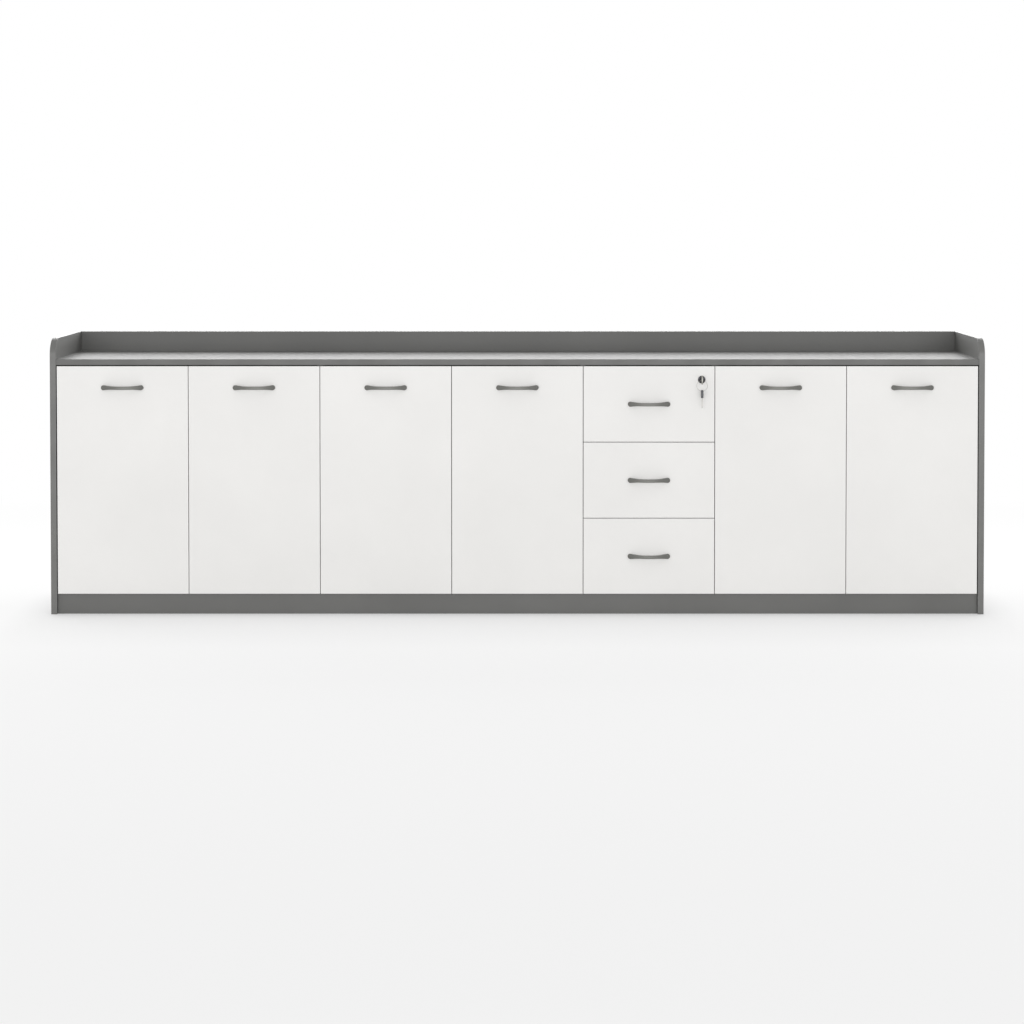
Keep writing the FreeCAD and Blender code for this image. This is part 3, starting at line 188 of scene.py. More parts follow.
@dataclass(frozen=True)
class Finish:
    """A surface with two tones mixed by one grain and a roughness that follows another.

    The relief follows the roughness, or a ripple of its own where there is one. Each finish
    paints one material, which its pieces share.
    """

    name: str
    low: str
    high: str
    rough_low: float = 0.4
    rough_high: float = 0.5
    tone: Grain = Grain(1 * MM)
    skin: Grain = Grain(1 * MM)
    ripple: Grain | None = None
    depth: float = 0.0
    strength: float = 0.5
    ior: float | None = None
    metallic: float = 0.0
    see_through: float = 0.0

    def material(self) -> bpy.types.Material:
        """Make the material once.

        Returns:
            The material of this finish.
        """
        known = bpy.data.materials.get(self.name)
        if known:
            return known
        made = bpy.data.materials.new(self.name)
        made.use_nodes = True
        tree = made.node_tree
        tree.nodes.clear()
        shader = add_node(tree, "ShaderNodeBsdfPrincipled", {}, self.inputs(tree))
        add_node(tree, "ShaderNodeOutputMaterial", {}, {"Surface": shader.outputs["BSDF"]})
        return made

    def inputs(self, tree: bpy.types.NodeTree) -> dict[str, Any]:
        """Paint the patterns and list the shader's inputs.

        Nearly all of a noise lies in the middle of its range, so that part is spread over
        the two tones and over the roughness.

        Args:
            tree: Node tree of the material.

        Returns:
            A value or a socket for each input of the shader.
        """
        skin = self.skin.value(tree)
        spread = {"Value": self.tone.value(tree), **NOISE_MIDDLE}
        share = add_node(tree, "ShaderNodeMapRange", {}, spread).outputs["Result"]
        colours = {0: share, 6: linear(self.low), 7: linear(self.high)}
        mix = add_node(tree, "ShaderNodeMix", {"data_type": "RGBA"}, colours)
        spread = {"Value": skin, **NOISE_MIDDLE, "To Min": self.rough_low, "To Max": self.rough_high}
        inputs = {
            "Base Color": mix.outputs[2],
            "Roughness": add_node(tree, "ShaderNodeMapRange", {}, spread).outputs["Result"],
            "Metallic": self.metallic,
            "Transmission Weight": self.see_through,
        }
        if self.ior:
            inputs["IOR"] = self.ior
        if self.depth:
            height = self.ripple.value(tree) if self.ripple else skin
            bumps = {"Height": height, "Distance": self.depth, "Strength": self.strength}
            inputs["Normal"] = add_node(tree, "ShaderNodeBump", {}, bumps).outputs["Normal"]
        return inputs


@dataclass(frozen=True)
class Melamine(Finish):
    """Melamine-faced chipboard, pressed against a fine pearl plate.

    The pressed pearl breaks the gloss into a soft satin, and the paper's tone drifts a
    little over each board.
    """

    rough_low: float = 0.40
    rough_high: float = 0.47
    tone: Grain = Grain(260 * MM, 3.0)
    skin: Grain = Grain(1.4 * MM, 1.0)  # the real pearl is 0.4 mm, too fine to show from a metre
    depth: float = 0.02 * MM
    strength: float = 0.6
    ior: float | None = 1.5


@dataclass(frozen=True)
class EdgeBand(Finish):
    """Extruded ABS edge band, trimmed round and buffed.

    It is a touch smoother than the face and has the fine lines of the trimming knife
    along the edge.
    """

    rough_low: float = 0.34
    rough_high: float = 0.42
    tone: Grain = Grain(90 * MM, 2.0)
    skin: Grain = Grain(0.9 * MM, 1.0, (60, 1, 60))  # the knife's lines are 0.2 mm apart, too fine to show
    depth: float = 0.01 * MM
    strength: float = 0.4
    ior: float | None = 1.52


@dataclass(frozen=True)
class Chipboard(Finish):
    """Raw chipboard core where a hole is bored: chips of light and dark wood, torn rough."""

    rough_low: float = 0.8
    rough_high: float = 0.95
    tone: Grain = Grain(1.8 * MM, 4.0, (3, 1, 1))
    skin: Grain = Grain(1.8 * MM, 4.0, (3, 1, 1))
    depth: float = 0.3 * MM
    strength: float = 0.8


@dataclass(frozen=True)
class LacqueredZinc(Finish):
    """Die-cast zinc with a satin pewter-grey lacquer.

    Metal flakes in the lacquer give a soft sparkle, and the cast skin under it a slow
    ripple in the highlights.
    """

    rough_low: float = 0.36
    rough_high: float = 0.48
    tone: Grain = Grain(0.8 * MM, 1.0)  # real flakes are 0.1 mm, too fine to show
    skin: Grain = Grain(0.8 * MM, 1.0)
    ripple: Grain | None = Grain(7 * MM, 1.0)
    depth: float = 0.05 * MM
    ior: float | None = 1.5
    metallic: float = 0.45


def rolled(stretch: Point) -> Grain:
    """Rolling lines drawn out along an axis; real ones are 0.1 mm apart, too fine to show."""
    return Grain(0.5 * MM, 2.0, stretch)


@dataclass(frozen=True)
class PlatedSteel(Finish):
    """Pressed or rolled steel, bright zinc or nickel plated.

    Rolling lines run along the strip and streak the reflections, and the plating has
    slightly duller patches.
    """

    rough_low: float = 0.22
    rough_high: float = 0.38
    tone: Grain = Grain(12 * MM, 3.0)
    skin: Grain = rolled((1, 40, 1))
    depth: float = 0.01 * MM
    metallic: float = 1.0


@dataclass(frozen=True)
class MouldedPlastic(Finish):
    """Injection-moulded ABS with a spark-eroded skin.

    The eroded mould leaves a fine even grain that dulls the grey.
    """

    rough_low: float = 0.42
    rough_high: float = 0.56
    tone: Grain = Grain(0.5 * MM, 1.0)  # the real grain is 0.15 mm, too fine to show
    skin: Grain = Grain(0.5 * MM, 1.0)
    depth: float = 0.03 * MM
    strength: float = 0.7
    ior: float | None = 1.53


@dataclass(frozen=True)
class ClearRubber(Finish):
    """Soft clear polyurethane dot, cast in a dome: a slow milky haze, and a little tacky."""

    rough_low: float = 0.2
    rough_high: float = 0.35
    tone: Grain = Grain(1.5 * MM, 2.0)
    skin: Grain = Grain(1.5 * MM, 2.0)
    ior: float | None = 1.5
    see_through: float = 0.6


WHITE_FACE = Melamine("white_satin_melamine", "#E7E6E4", "#EBEAE8")
WHITE_EDGE = EdgeBand("white_abs_edge_band", "#E7E6E4", "#ECEBE9")
GREY_FACE = Melamine("graphite_satin_melamine", "#5F5F5D", "#656563", 0.44, 0.52)
# The graphite edge band is lighter than the graphite face: a painted highlight for the stronger light on
# the front edges.
GREY_EDGE_PAINTED_LIGHT = EdgeBand("graphite_abs_edge_band_painted_light", "#666664", "#6C6C6A")
# Darker copy of the graphite edge band for the worktop's front edge: painted shade that tones down the
# light falling on it.
WORKTOP_EDGE_PAINTED_SHADE = EdgeBand("graphite_worktop_edge_band_painted_shade", "#565654", "#5C5C5A")
BACK_FACE = Melamine(
    "graphite_hardboard",
    "#727270",
    "#767674",
    0.48,
    0.56,
    tone=Grain(180 * MM, 3.0),
    skin=Grain(2.0 * MM, 1.0),
)
DRAWER_FACE = Melamine("graphite_drawer_board", "#747472", "#7A7A78", 0.42, 0.5)
CORE = Chipboard("raw_chipboard_core", "#8C6F4C", "#C9AE84")
PEWTER = LacqueredZinc("pewter_lacquered_zinc", "#686864", "#767672")
HINGE_NICKEL = PlatedSteel(
    "nickel_plated_hinge_steel", "#BEBCB6", "#CCCAC4", 0.16, 0.3, skin=rolled((1, 30, 1))
)
SLIDE_ZINC = PlatedSteel("bright_zinc_slide_steel", "#B4B8BC", "#C6CACE")
FASTENER_ZINC = PlatedSteel(
    "zinc_plated_fastener", "#A9ACAF", "#BDC0C3", 0.28, 0.42, skin=rolled((6, 6, 1))
)
BAR_ZINC = PlatedSteel(
    "zinc_plated_lock_bar", "#B0B3B7", "#C2C5C9", 0.24, 0.4, skin=rolled((1, 1, 60))
)
BLACK_NICKEL = PlatedSteel(
    "black_nickel_lock", "#2E2E30", "#3C3C3F", 0.16, 0.26, skin=rolled((1, 1, 1))
)
KEY_NICKEL = PlatedSteel(
    "tumbled_nickel_key", "#9A9994", "#AAA9A4", 0.36, 0.5, skin=rolled((1, 1, 14))
)
LOCK_KEY_NICKEL = PlatedSteel(
    "worn_nickel_lock_key", "#96958F", "#A8A7A1", 0.4, 0.52, skin=rolled((1, 1, 14))
)
KEY_PLASTIC = MouldedPlastic("dark_grey_moulded_abs", "#505053", "#5C5C60")
RUBBER = ClearRubber("clear_polyurethane", "#DCDCD8", "#EDEDEA")


# --------------------------------------------------------------------------------------
# Modelling.


def leave_edit_mode() -> None:
    """Go back to object mode and deselect everything."""
    if bpy.context.object and bpy.context.object.mode != "OBJECT":
        bpy.ops.object.mode_set(mode="OBJECT")
    bpy.ops.object.select_all(action="DESELECT")


def focus(*pieces: bpy.types.Object) -> None:
    """Select these pieces alone; the first is the active one.

    Args:
        pieces: Pieces to select.
    """
    leave_edit_mode()
    for piece in pieces:
        piece.select_set(True)
    bpy.context.view_layer.objects.active = pieces[0]


@contextmanager
def editing(piece: bpy.types.Object, kind: Pick = Pick.FACES) -> Iterator[bmesh.types.BMesh]:
    """Edit mode on one piece, with nothing selected at first.

    Args:
        piece: Piece to edit.
        kind: What is selected.

    Yields:
        The mesh in edit mode.
    """
    focus(piece)
    bpy.ops.object.mode_set(mode="EDIT")
    bpy.ops.mesh.select_mode(type=kind.value)
    bpy.ops.mesh.select_all(action="DESELECT")
    yield bmesh.from_edit_mesh(piece.data)
    bpy.ops.object.mode_set(mode="OBJECT")


def choose(piece: bpy.types.Object, elements: Any, test: Test) -> None:
    """Select the faces or edges that pass a test, in edit mode.

    Args:
        piece: Piece in edit mode.
        elements: The mesh's faces or edges.
        test: Says whether an element is selected.
    """
    chosen = [element for element in elements if test(element)]
    for element in chosen:
        element.select_set(True)
    bmesh.update_edit_mesh(piece.data)


def fix_place(piece: bpy.types.Object) -> bpy.types.Object:
    """Put a piece's place, turn and size into its mesh.

    Args:
        piece: Piece to fix.

    Returns:
        The same piece, at the origin.
    """
    focus(piece)
    bpy.ops.object.transform_apply(location=True, rotation=True, scale=True)
    return piece


def block(name: str, low: Sequence[float], high: Sequence[float]) -> bpy.types.Object:
    """A block between two corners, to be shaped further.

    Args:
        name: Name of the piece.
        low: Lowest corner.
        high: Highest corner.

    Returns:
        The block.
    """
    leave_edit_mode()
    low, high = Vector(low), Vector(high)
    bpy.ops.mesh.primitive_cube_add(size=1, location=(low + high) / 2, scale=high - low)
    piece = bpy.context.object
    piece.name = name
    return fix_place(piece)


def turned(
    name: str, sides: int, start: float, steps: Sequence[tuple[float, float]]
) -> bpy.types.Object:
    """A part turned about +Z, made ring by ring from a disc at z = 0.

    Args:
        name: Name of the piece.
        sides: Sides of the circle.
        start: Radius of the first disc.
        steps: Radius and height of each further ring.

    Returns:
        The closed part.
    """
    leave_edit_mode()
    bpy.ops.mesh.primitive_circle_add(vertices=sides, radius=start, fill_type="NGON")
    piece = bpy.context.object
    piece.name = name
    with editing(piece):
        bpy.ops.mesh.select_all(action="SELECT")
        radius, height = start, 0.0
        for next_radius, next_height in steps:
            move = {"value": (0, 0, next_height - height)}
            bpy.ops.mesh.extrude_region_move(TRANSFORM_OT_translate=move)
            ratio = next_radius / radius
            bpy.ops.transform.resize(value=(ratio, ratio, 1), center_override=(0, 0, next_height))
            radius, height = next_radius, next_height
        bpy.ops.mesh.select_all(action="SELECT")
        bpy.ops.mesh.normals_make_consistent(inside=False)
    return piece


def round_edges(
    piece: bpy.types.Object,
    width: float,
    test: Test,
    segments: int = 2,
) -> bpy.types.Object:
    """Round the edges that pass a test.

    Args:
        piece: Piece to shape.
        width: Width of the rounding.
        test: Says whether an edge is rounded.
        segments: Faces across the rounding.

    Returns:
        The same piece.
    """
    with editing(piece, Pick.EDGES) as mesh:
        choose(piece, mesh.edges, test)
        bpy.ops.mesh.bevel(offset=width, segments=segments, profile=0.5, affect="EDGES")
    return piece


def is_sharp(edge: bmesh.types.BMEdge) -> bool:
    """Whether an edge turns enough to be a corner."""
    return edge.is_manifold and edge.calc_face_angle(0.0) > SHARP_TURN


def runs_along(axis: Axis) -> Test:
    """A test for edges that run along an axis.

    Args:
        axis: Axis to run along.

    Returns:
        The test.
    """

    def test(edge: bmesh.types.BMEdge) -> bool:
        """Whether nearly all of the edge's run is along the axis."""
        run = edge.verts[1].co - edge.verts[0].co
        return abs(run[axis.value]) > NEARLY_ALL * run.length

    return test


def within(axis: Axis, low: float, high: float) -> Test:
    """A test for edges whose corners all lie between two places on an axis."""
    return lambda edge: all(low < vert.co[axis.value] < high for vert in edge.verts)


def both(first: Test, second: Test) -> Test:
    """A test that an edge passes if it passes two tests."""
    return lambda edge: first(edge) and second(edge)


def boolean(piece: bpy.types.Object, tool: bpy.types.Object, operation: Merge) -> bpy.types.Object:
    """Cut a piece with a tool or weld the tool to it, and remove the tool.

    Args:
        piece: Piece to change.
        tool: The other shape.
        operation: Whether the tool cuts or is welded on.

    Returns:
        The same piece.
    """
    focus(piece)
    bpy.ops.object.modifier_add(type="BOOLEAN")
    modifier = piece.modifiers[-1]
    modifier.operation = operation.value
    modifier.solver = "EXACT"
    modifier.object = tool
    bpy.ops.object.modifier_apply(modifier=modifier.name)
    bpy.data.objects.remove(tool)
    return piece


def join(name: str, parts: Sequence[bpy.types.Object]) -> bpy.types.Object:
    """Join parts into one piece.

    Args:
        name: Name of the piece.
        parts: Parts to join.

    Returns:
        The joined piece.
    """
    focus(*parts)
    if len(parts) > 1:
        bpy.ops.object.join()
    parts[0].name = name
    return parts[0]


def copies(name: str, pattern: bpy.types.Object, places: Sequence[Matrix]) -> bpy.types.Object:
    """Copy a pattern to each place and join the copies; the pattern is used up.

    Args:
        name: Name of the piece.
        pattern: Part modelled round the origin.
        places: Place of each copy.

    Returns:
        The joined copies.
    """
    parts = []
    for place in places:
        focus(pattern)
        bpy.ops.object.duplicate(linked=False)
        part = bpy.context.object
        part.matrix_world = place
        fix_place(part)
        if place.determinant() < 0:
            with editing(part):
                bpy.ops.mesh.select_all(action="SELECT")
                bpy.ops.mesh.normals_make_consistent(inside=False)
        parts.append(part)
    bpy.data.objects.remove(pattern)
    return join(name, parts)


def facing(way: Vector, at: Sequence[float], spin: float = 0.0) -> Matrix:
    """Place for a part modelled about +Z, so that its +Z points a given way.

    Args:
        way: Direction of the part's +Z.
        at: Where its origin goes.
        spin: Turn about its own axis in degrees.

    Returns:
        The place.
    """
    turn = way.to_track_quat("Z", "Y").to_matrix().to_4x4()
    return Matrix.Translation(Vector(at)) @ turn @ Matrix.Rotation(math.radians(spin), 4, "Z")


def cross_tool(name: str, width: float, arm: float, top: float, depth: float) -> bpy.types.Object:
    """Cross-shaped cutter for a screw recess, from above a face down into it.

    Args:
        name: Name of the cutter.
        width: Length of the cross.
        arm: Thickness of an arm.
        top: Height of the face.
        depth: Depth of the recess.

    Returns:
        The cutter.
    """
    high = top + depth
    bars = []
    for along, across in ((width, arm), (arm, width)):
        low = (-along / 2, -across / 2, top - depth)
        bars.append(block(name, low, (along / 2, across / 2, high)))
    return boolean(bars[0], bars[1], Merge.WELD)


def screw(name: str, head: float, high: float, shank: float, long: float) -> bpy.types.Object:
    """Pan-head screw about +Z: the shank runs down from z = 0 and the head stands on it.

    Args:
        name: Name of the screw.
        head: Radius of the head.
        high: Height of the head.
        shank: Radius of the shank.
        long: Length of the shank.

    Returns:
        The screw.
    """
    steps = [
        (shank, long * 0.92),
        (shank, long),
        (head, long),
        (head, long + high * 0.45),
        (head * 0.86, long + high * 0.82),
        (head * 0.55, long + high),
    ]
    part = turned(name, 20, shank * 0.6, [(shank, long * 0.08)] + steps)
    part.location.z = -long
    fix_place(part)
    recess = cross_tool("recess", head * 1.1, head * 0.24, high, high * 0.55)
    return boolean(part, recess, Merge.CUT)


def merged_copy(node: str, name: str) -> bpy.types.Object:
    """Copy a CAD node's mesh as one clean shell with flat faces dissolved.

    Args:
        node: CAD node to copy.
        name: Name of the copy.

    Returns:
        The copy.
    """
    focus(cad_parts[node])
    bpy.ops.object.duplicate(linked=False)
    piece = bpy.context.object
    piece.name = name
    piece.data.materials.clear()
    for key in [key for key in piece.keys() if key.startswith("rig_")]:
        del piece[key]
    piece.parent = None
    with editing(piece):
        bpy.ops.mesh.select_all(action="SELECT")
        bpy.ops.mesh.remove_doubles(threshold=SAME_POINT)
        bpy.ops.mesh.dissolve_limited(angle_limit=FLAT_TURN)
    return piece


def smooth(piece: bpy.types.Object, angle: float = 35.0) -> bpy.types.Object:
    """Smooth the rounded faces and keep the flat ones flat.

    Args:
        piece: Piece to shade.
        angle: Turn in degrees above which an edge stays sharp.

    Returns:
        The same piece.
    """
    focus(piece)
    bpy.ops.object.shade_smooth_by_angle(angle=math.radians(angle))
    bpy.ops.object.modifier_add(type="WEIGHTED_NORMAL")
    modifier = piece.modifiers[-1]
    modifier.keep_sharp = True
    bpy.ops.object.modifier_apply(modifier=modifier.name)
    return piece


def solids(node: str) -> list[Box]:
    """Lowest and highest corner of each separate solid in a CAD node.

    Args:
        node: CAD node to read.

    Returns:
        The corners, sorted from the lowest to the highest place.
    """
    mesh = bmesh.new()
    mesh.from_mesh(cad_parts[node].data)
    bmesh.ops.remove_doubles(mesh, verts=mesh.verts, dist=SAME_POINT)
    boxes = []
    left = set(mesh.verts)
    while left:
        front = [left.pop()]
        found = list(front)
        while front:
            vert = front.pop()
            near = {edge.other_vert(vert) for edge in vert.link_edges} & left
            left -= near
            front += near
            found += near
        corners = [vert.co for vert in found]
        low = Vector([min(co[axis] for co in corners) for axis in range(3)])
        high = Vector([max(co[axis] for co in corners) for axis in range(3)])
        boxes.append((low, high))
    mesh.free()
    return sorted(boxes, key=lambda box: [round(value, 4) for value in box[0]])


def side_of_upright(x: float) -> int:
    """Which side of the nearest upright board a place is on.

    Args:
        x: The place along X.

    Returns:
        1 for the board's +X side, -1 for its -X side.
    """
    boxes = [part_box(node) for node in UPRIGHTS]
    middles = [(low.x + high.x) / 2 for low, high in boxes]
    nearest = min(middles, key=lambda middle: abs(middle - x))
    return 1 if x > nearest else -1


def finish_piece(
    piece: bpy.types.Object,
    body: str,
    finishes: Sequence[Finish],
    replaces: Sequence[str] = (),
) -> bpy.types.Object:
    """Give a piece its material and body.

    Args:
        piece: Finished shape.
        body: CAD body that it rides on.
        finishes: Finishes, in the order of the mesh's material numbers.
        replaces: CAD nodes that it stands for.

    Returns:
        The same piece.
    """
    for finish in finishes:
        piece.data.materials.append(finish.material())
    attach(piece, body)
    if replaces:
        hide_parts(*replaces)
    log.info("%s rides on %s, %d faces", piece.name, body, len(piece.data.polygons))
    return piece


def dress_node(node: str, finish: Finish) -> None:
    """Give a CAD node that stays a better material.

    Args:
        node: CAD node.
        finish: Its finish.
    """
    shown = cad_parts[node]
    for place in shown.material_slots:
        place.material = finish.material()
    log.info("%s keeps its CAD shape", node)


# --------------------------------------------------------------------------------------
# Boards.


@dataclass
class BoardShop:
    """Banded boards: each face keeps its CAD outline and holes, and its edges are trimmed round."""

    trim: float = 1.0 * MM
    trim_steps: int = 3
    corner_radius: float = 50 * MM
    touch: float = 0.02 * MM
    outline_reach: float = 20 * MM
    square_on: float = 0.999

    def board(self, node: str, body: str, slot: Slot, face: Finish, band: Finish) -> bpy.types.Object:
        """Make the banded board that stands for a CAD node.

        Args:
            node: CAD node of the board.
            body: CAD body that it rides on.
            slot: Material slot of the record; not used.
            face: Finish of the two faces.
            band: Finish of the edges.

        Returns:
            The board.
        """
        low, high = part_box(node)
        piece = merged_copy(node, f"{node}_banded")
        round_edges(piece, self.trim, self.outline_test(low, high), self.trim_steps)
        self.number_faces(piece, low, high)
        smooth(piece)
        return finish_piece(piece, body, (face, band, CORE), (node,))

    def outline_test(self, low: Vector, high: Vector) -> Test:
        """A test for sharp edges on the outline: on two sides of the box, or on the arc.

        Args:
            low: Lowest corner of the board.
            high: Highest corner of the board.

        Returns:
            The test.
        """

        def test(edge: bmesh.types.BMEdge) -> bool:
            """Whether the edge is sharp and on the outline."""
            on_outline = self.on_sides(edge, low, high) >= 2 or self.on_arc(edge, low, high)
            return is_sharp(edge) and on_outline

        return test

    def on_sides(self, edge: bmesh.types.BMEdge, low: Vector, high: Vector) -> int:
        """On how many sides of the board's box an edge lies.

        Args:
            edge: Edge of the board.
            low: Lowest corner of the board.
            high: Highest corner of the board.

        Returns:
            The number of sides.
        """
        sides = [(axis, limit[axis]) for axis in range(3) for limit in (low, high)]
        return sum(
            all(abs(vert.co[axis] - limit) < self.touch for vert in edge.verts)
            for axis, limit in sides
        )

    def on_arc(self, edge: bmesh.types.BMEdge, low: Vector, high: Vector) -> bool:
        """Whether an edge lies on the round of an end panel's upper front corner.

        Args:
            edge: Edge of the board.
            low: Lowest corner of the board.
            high: Highest corner of the board.

        Returns:
            True if both its ends are on the round.
        """
        centre_y = low.y + self.corner_radius
        centre_z = high.z - self.corner_radius
        for vert in edge.verts:
            away = math.hypot(vert.co.y - centre_y, vert.co.z - centre_z)
            if abs(away - self.corner_radius) > self.touch:
                return False
            if vert.co.y > centre_y + self.touch or vert.co.z < centre_z - self.touch:
                return False
        return True

    def number_faces(self, piece: bpy.types.Object, low: Vector, high: Vector) -> None:
        """Number the materials: 0 for the faces, 1 for the edge band, 2 for bored holes.

        Args:
            piece: The board.
            low: Its lowest corner.
            high: Its highest corner.
        """
        size = high - low
        thin = min(range(3), key=lambda axis: size[axis])
        flat = [axis for axis in range(3) if axis != thin]
        for face in piece.data.polygons:
            middle = face.center
            lift = min(abs(middle[thin] - low[thin]), abs(middle[thin] - high[thin]))
            reach = min(min(middle[axis] - low[axis], high[axis] - middle[axis]) for axis in flat)
            if abs(face.normal[thin]) > self.square_on and lift < self.touch:
                face.material_index = 0
            else:
                face.material_index = 1 if reach < self.outline_reach else 2


@dataclass
class Carcass:
    """The grey carcass: end panels, worktop, gallery, plinth, dividers, shelves and backs."""

    shop: BoardShop
    boards: tuple[str, ...] = (
        "left_end_panel",
        "right_end_panel",
        "worktop",
        "bottom_panel",
        "gallery_board",
        "toe_kick",
        "rear_plinth",
        "divider_1",
        "divider_2",
        "divider_3",
        "shelf_1",
        "shelf_2",
        "shelf_3",
    )
    rail_edge: float = 0.5 * MM
    back_edge: float = MM / 3

    def build(self) -> None:
        """Dress every board of the carcass."""
        for node in self.boards:
            # The worktop gets the darker copy of the edge band, a painted shade.
            band = WORKTOP_EDGE_PAINTED_SHADE if node == "worktop" else GREY_EDGE_PAINTED_LIGHT
            self.shop.board(node, "carcass", Slot.CARCASS, GREY_FACE, band)
        rail, back = self.rail_edge, self.back_edge
        self.plain("plinth_cross_rails", "plinth_rail_boards", GREY_EDGE_PAINTED_LIGHT, rail, 2)
        self.plain("back_panels", "back_panel_boards", BACK_FACE, back, 1)

    def plain(self, node: str, name: str, finish: Finish, edge: float, steps: int) -> None:
        """Make the unbanded boards of a node, with their sawn edges just broken.

        Args:
            node: CAD node of the boards.
            name: Name of the piece.
            finish: Finish all over.
            edge: Width of a broken edge.
            steps: Faces across a broken edge.
        """
        parts = []
        for index, (low, high) in enumerate(solids(node)):
            board = block(f"board_{index}", low, high)
            parts.append(round_edges(board, edge, is_sharp, steps))
        finish_piece(smooth(join(name, parts)), "carcass", (finish,), (node,))


@dataclass
class Fronts:
    """White doors and drawer fronts, and the soft dots that they close on."""

    shop: BoardShop

    def build(self) -> None:
        """Dress the doors, the drawer fronts and the buffers."""
        for number in DOORS:
            node = f"door_panel_{number}"
            self.shop.board(node, f"door_{number}", Slot.FRONT, WHITE_FACE, WHITE_EDGE)
        for number in DRAWERS:
            node = f"drawer_front_{number}"
            self.shop.board(node, f"drawer_{number}", Slot.FRONT, WHITE_FACE, WHITE_EDGE)
        self.buffers()

    def buffers(self) -> None:
        """Domed dots on the carcass front edges."""
        boxes = solids("front_buffers")
        low, high = boxes[0]
        radius = (high.x - low.x) / 2
        tall = high.y - low.y
        steps = [
            (radius, tall * 0.2),
            (radius * 0.93, tall * 0.55),
            (radius * 0.72, tall * 0.85),
            (radius * 0.36, tall),
        ]
        dome = turned("dome", 20, radius, steps)
        places = [facing(FORWARD, ((a.x + b.x) / 2, b.y, (a.z + b.z) / 2)) for a, b in boxes]
        dots = smooth(copies("front_buffer_domes", dome, places), 60)
        finish_piece(dots, "carcass", (RUBBER,), ("front_buffers",))


@dataclass
class Handles:
    """Bow handles of the doors and drawers."""

    bow_angle: float = 50

    def build(self) -> None:
        """Make a smooth cast handle for every front."""
        for number in DOORS:
            self.handle(f"door_handle_{number}", f"door_{number}")
        for number in DRAWERS:
            self.handle(f"drawer_handle_{number}", f"drawer_{number}")

    def handle(self, node: str, body: str) -> None:
        """Make one handle.

        Args:
            node: CAD node of the handle.
            body: CAD body that it rides on.
        """
        bow = smooth(merged_copy(node, f"{node}_cast"), self.bow_angle)
        finish_piece(bow, body, (PEWTER,), (node,))


# --------------------------------------------------------------------------------------
# Fasteners and hinges.


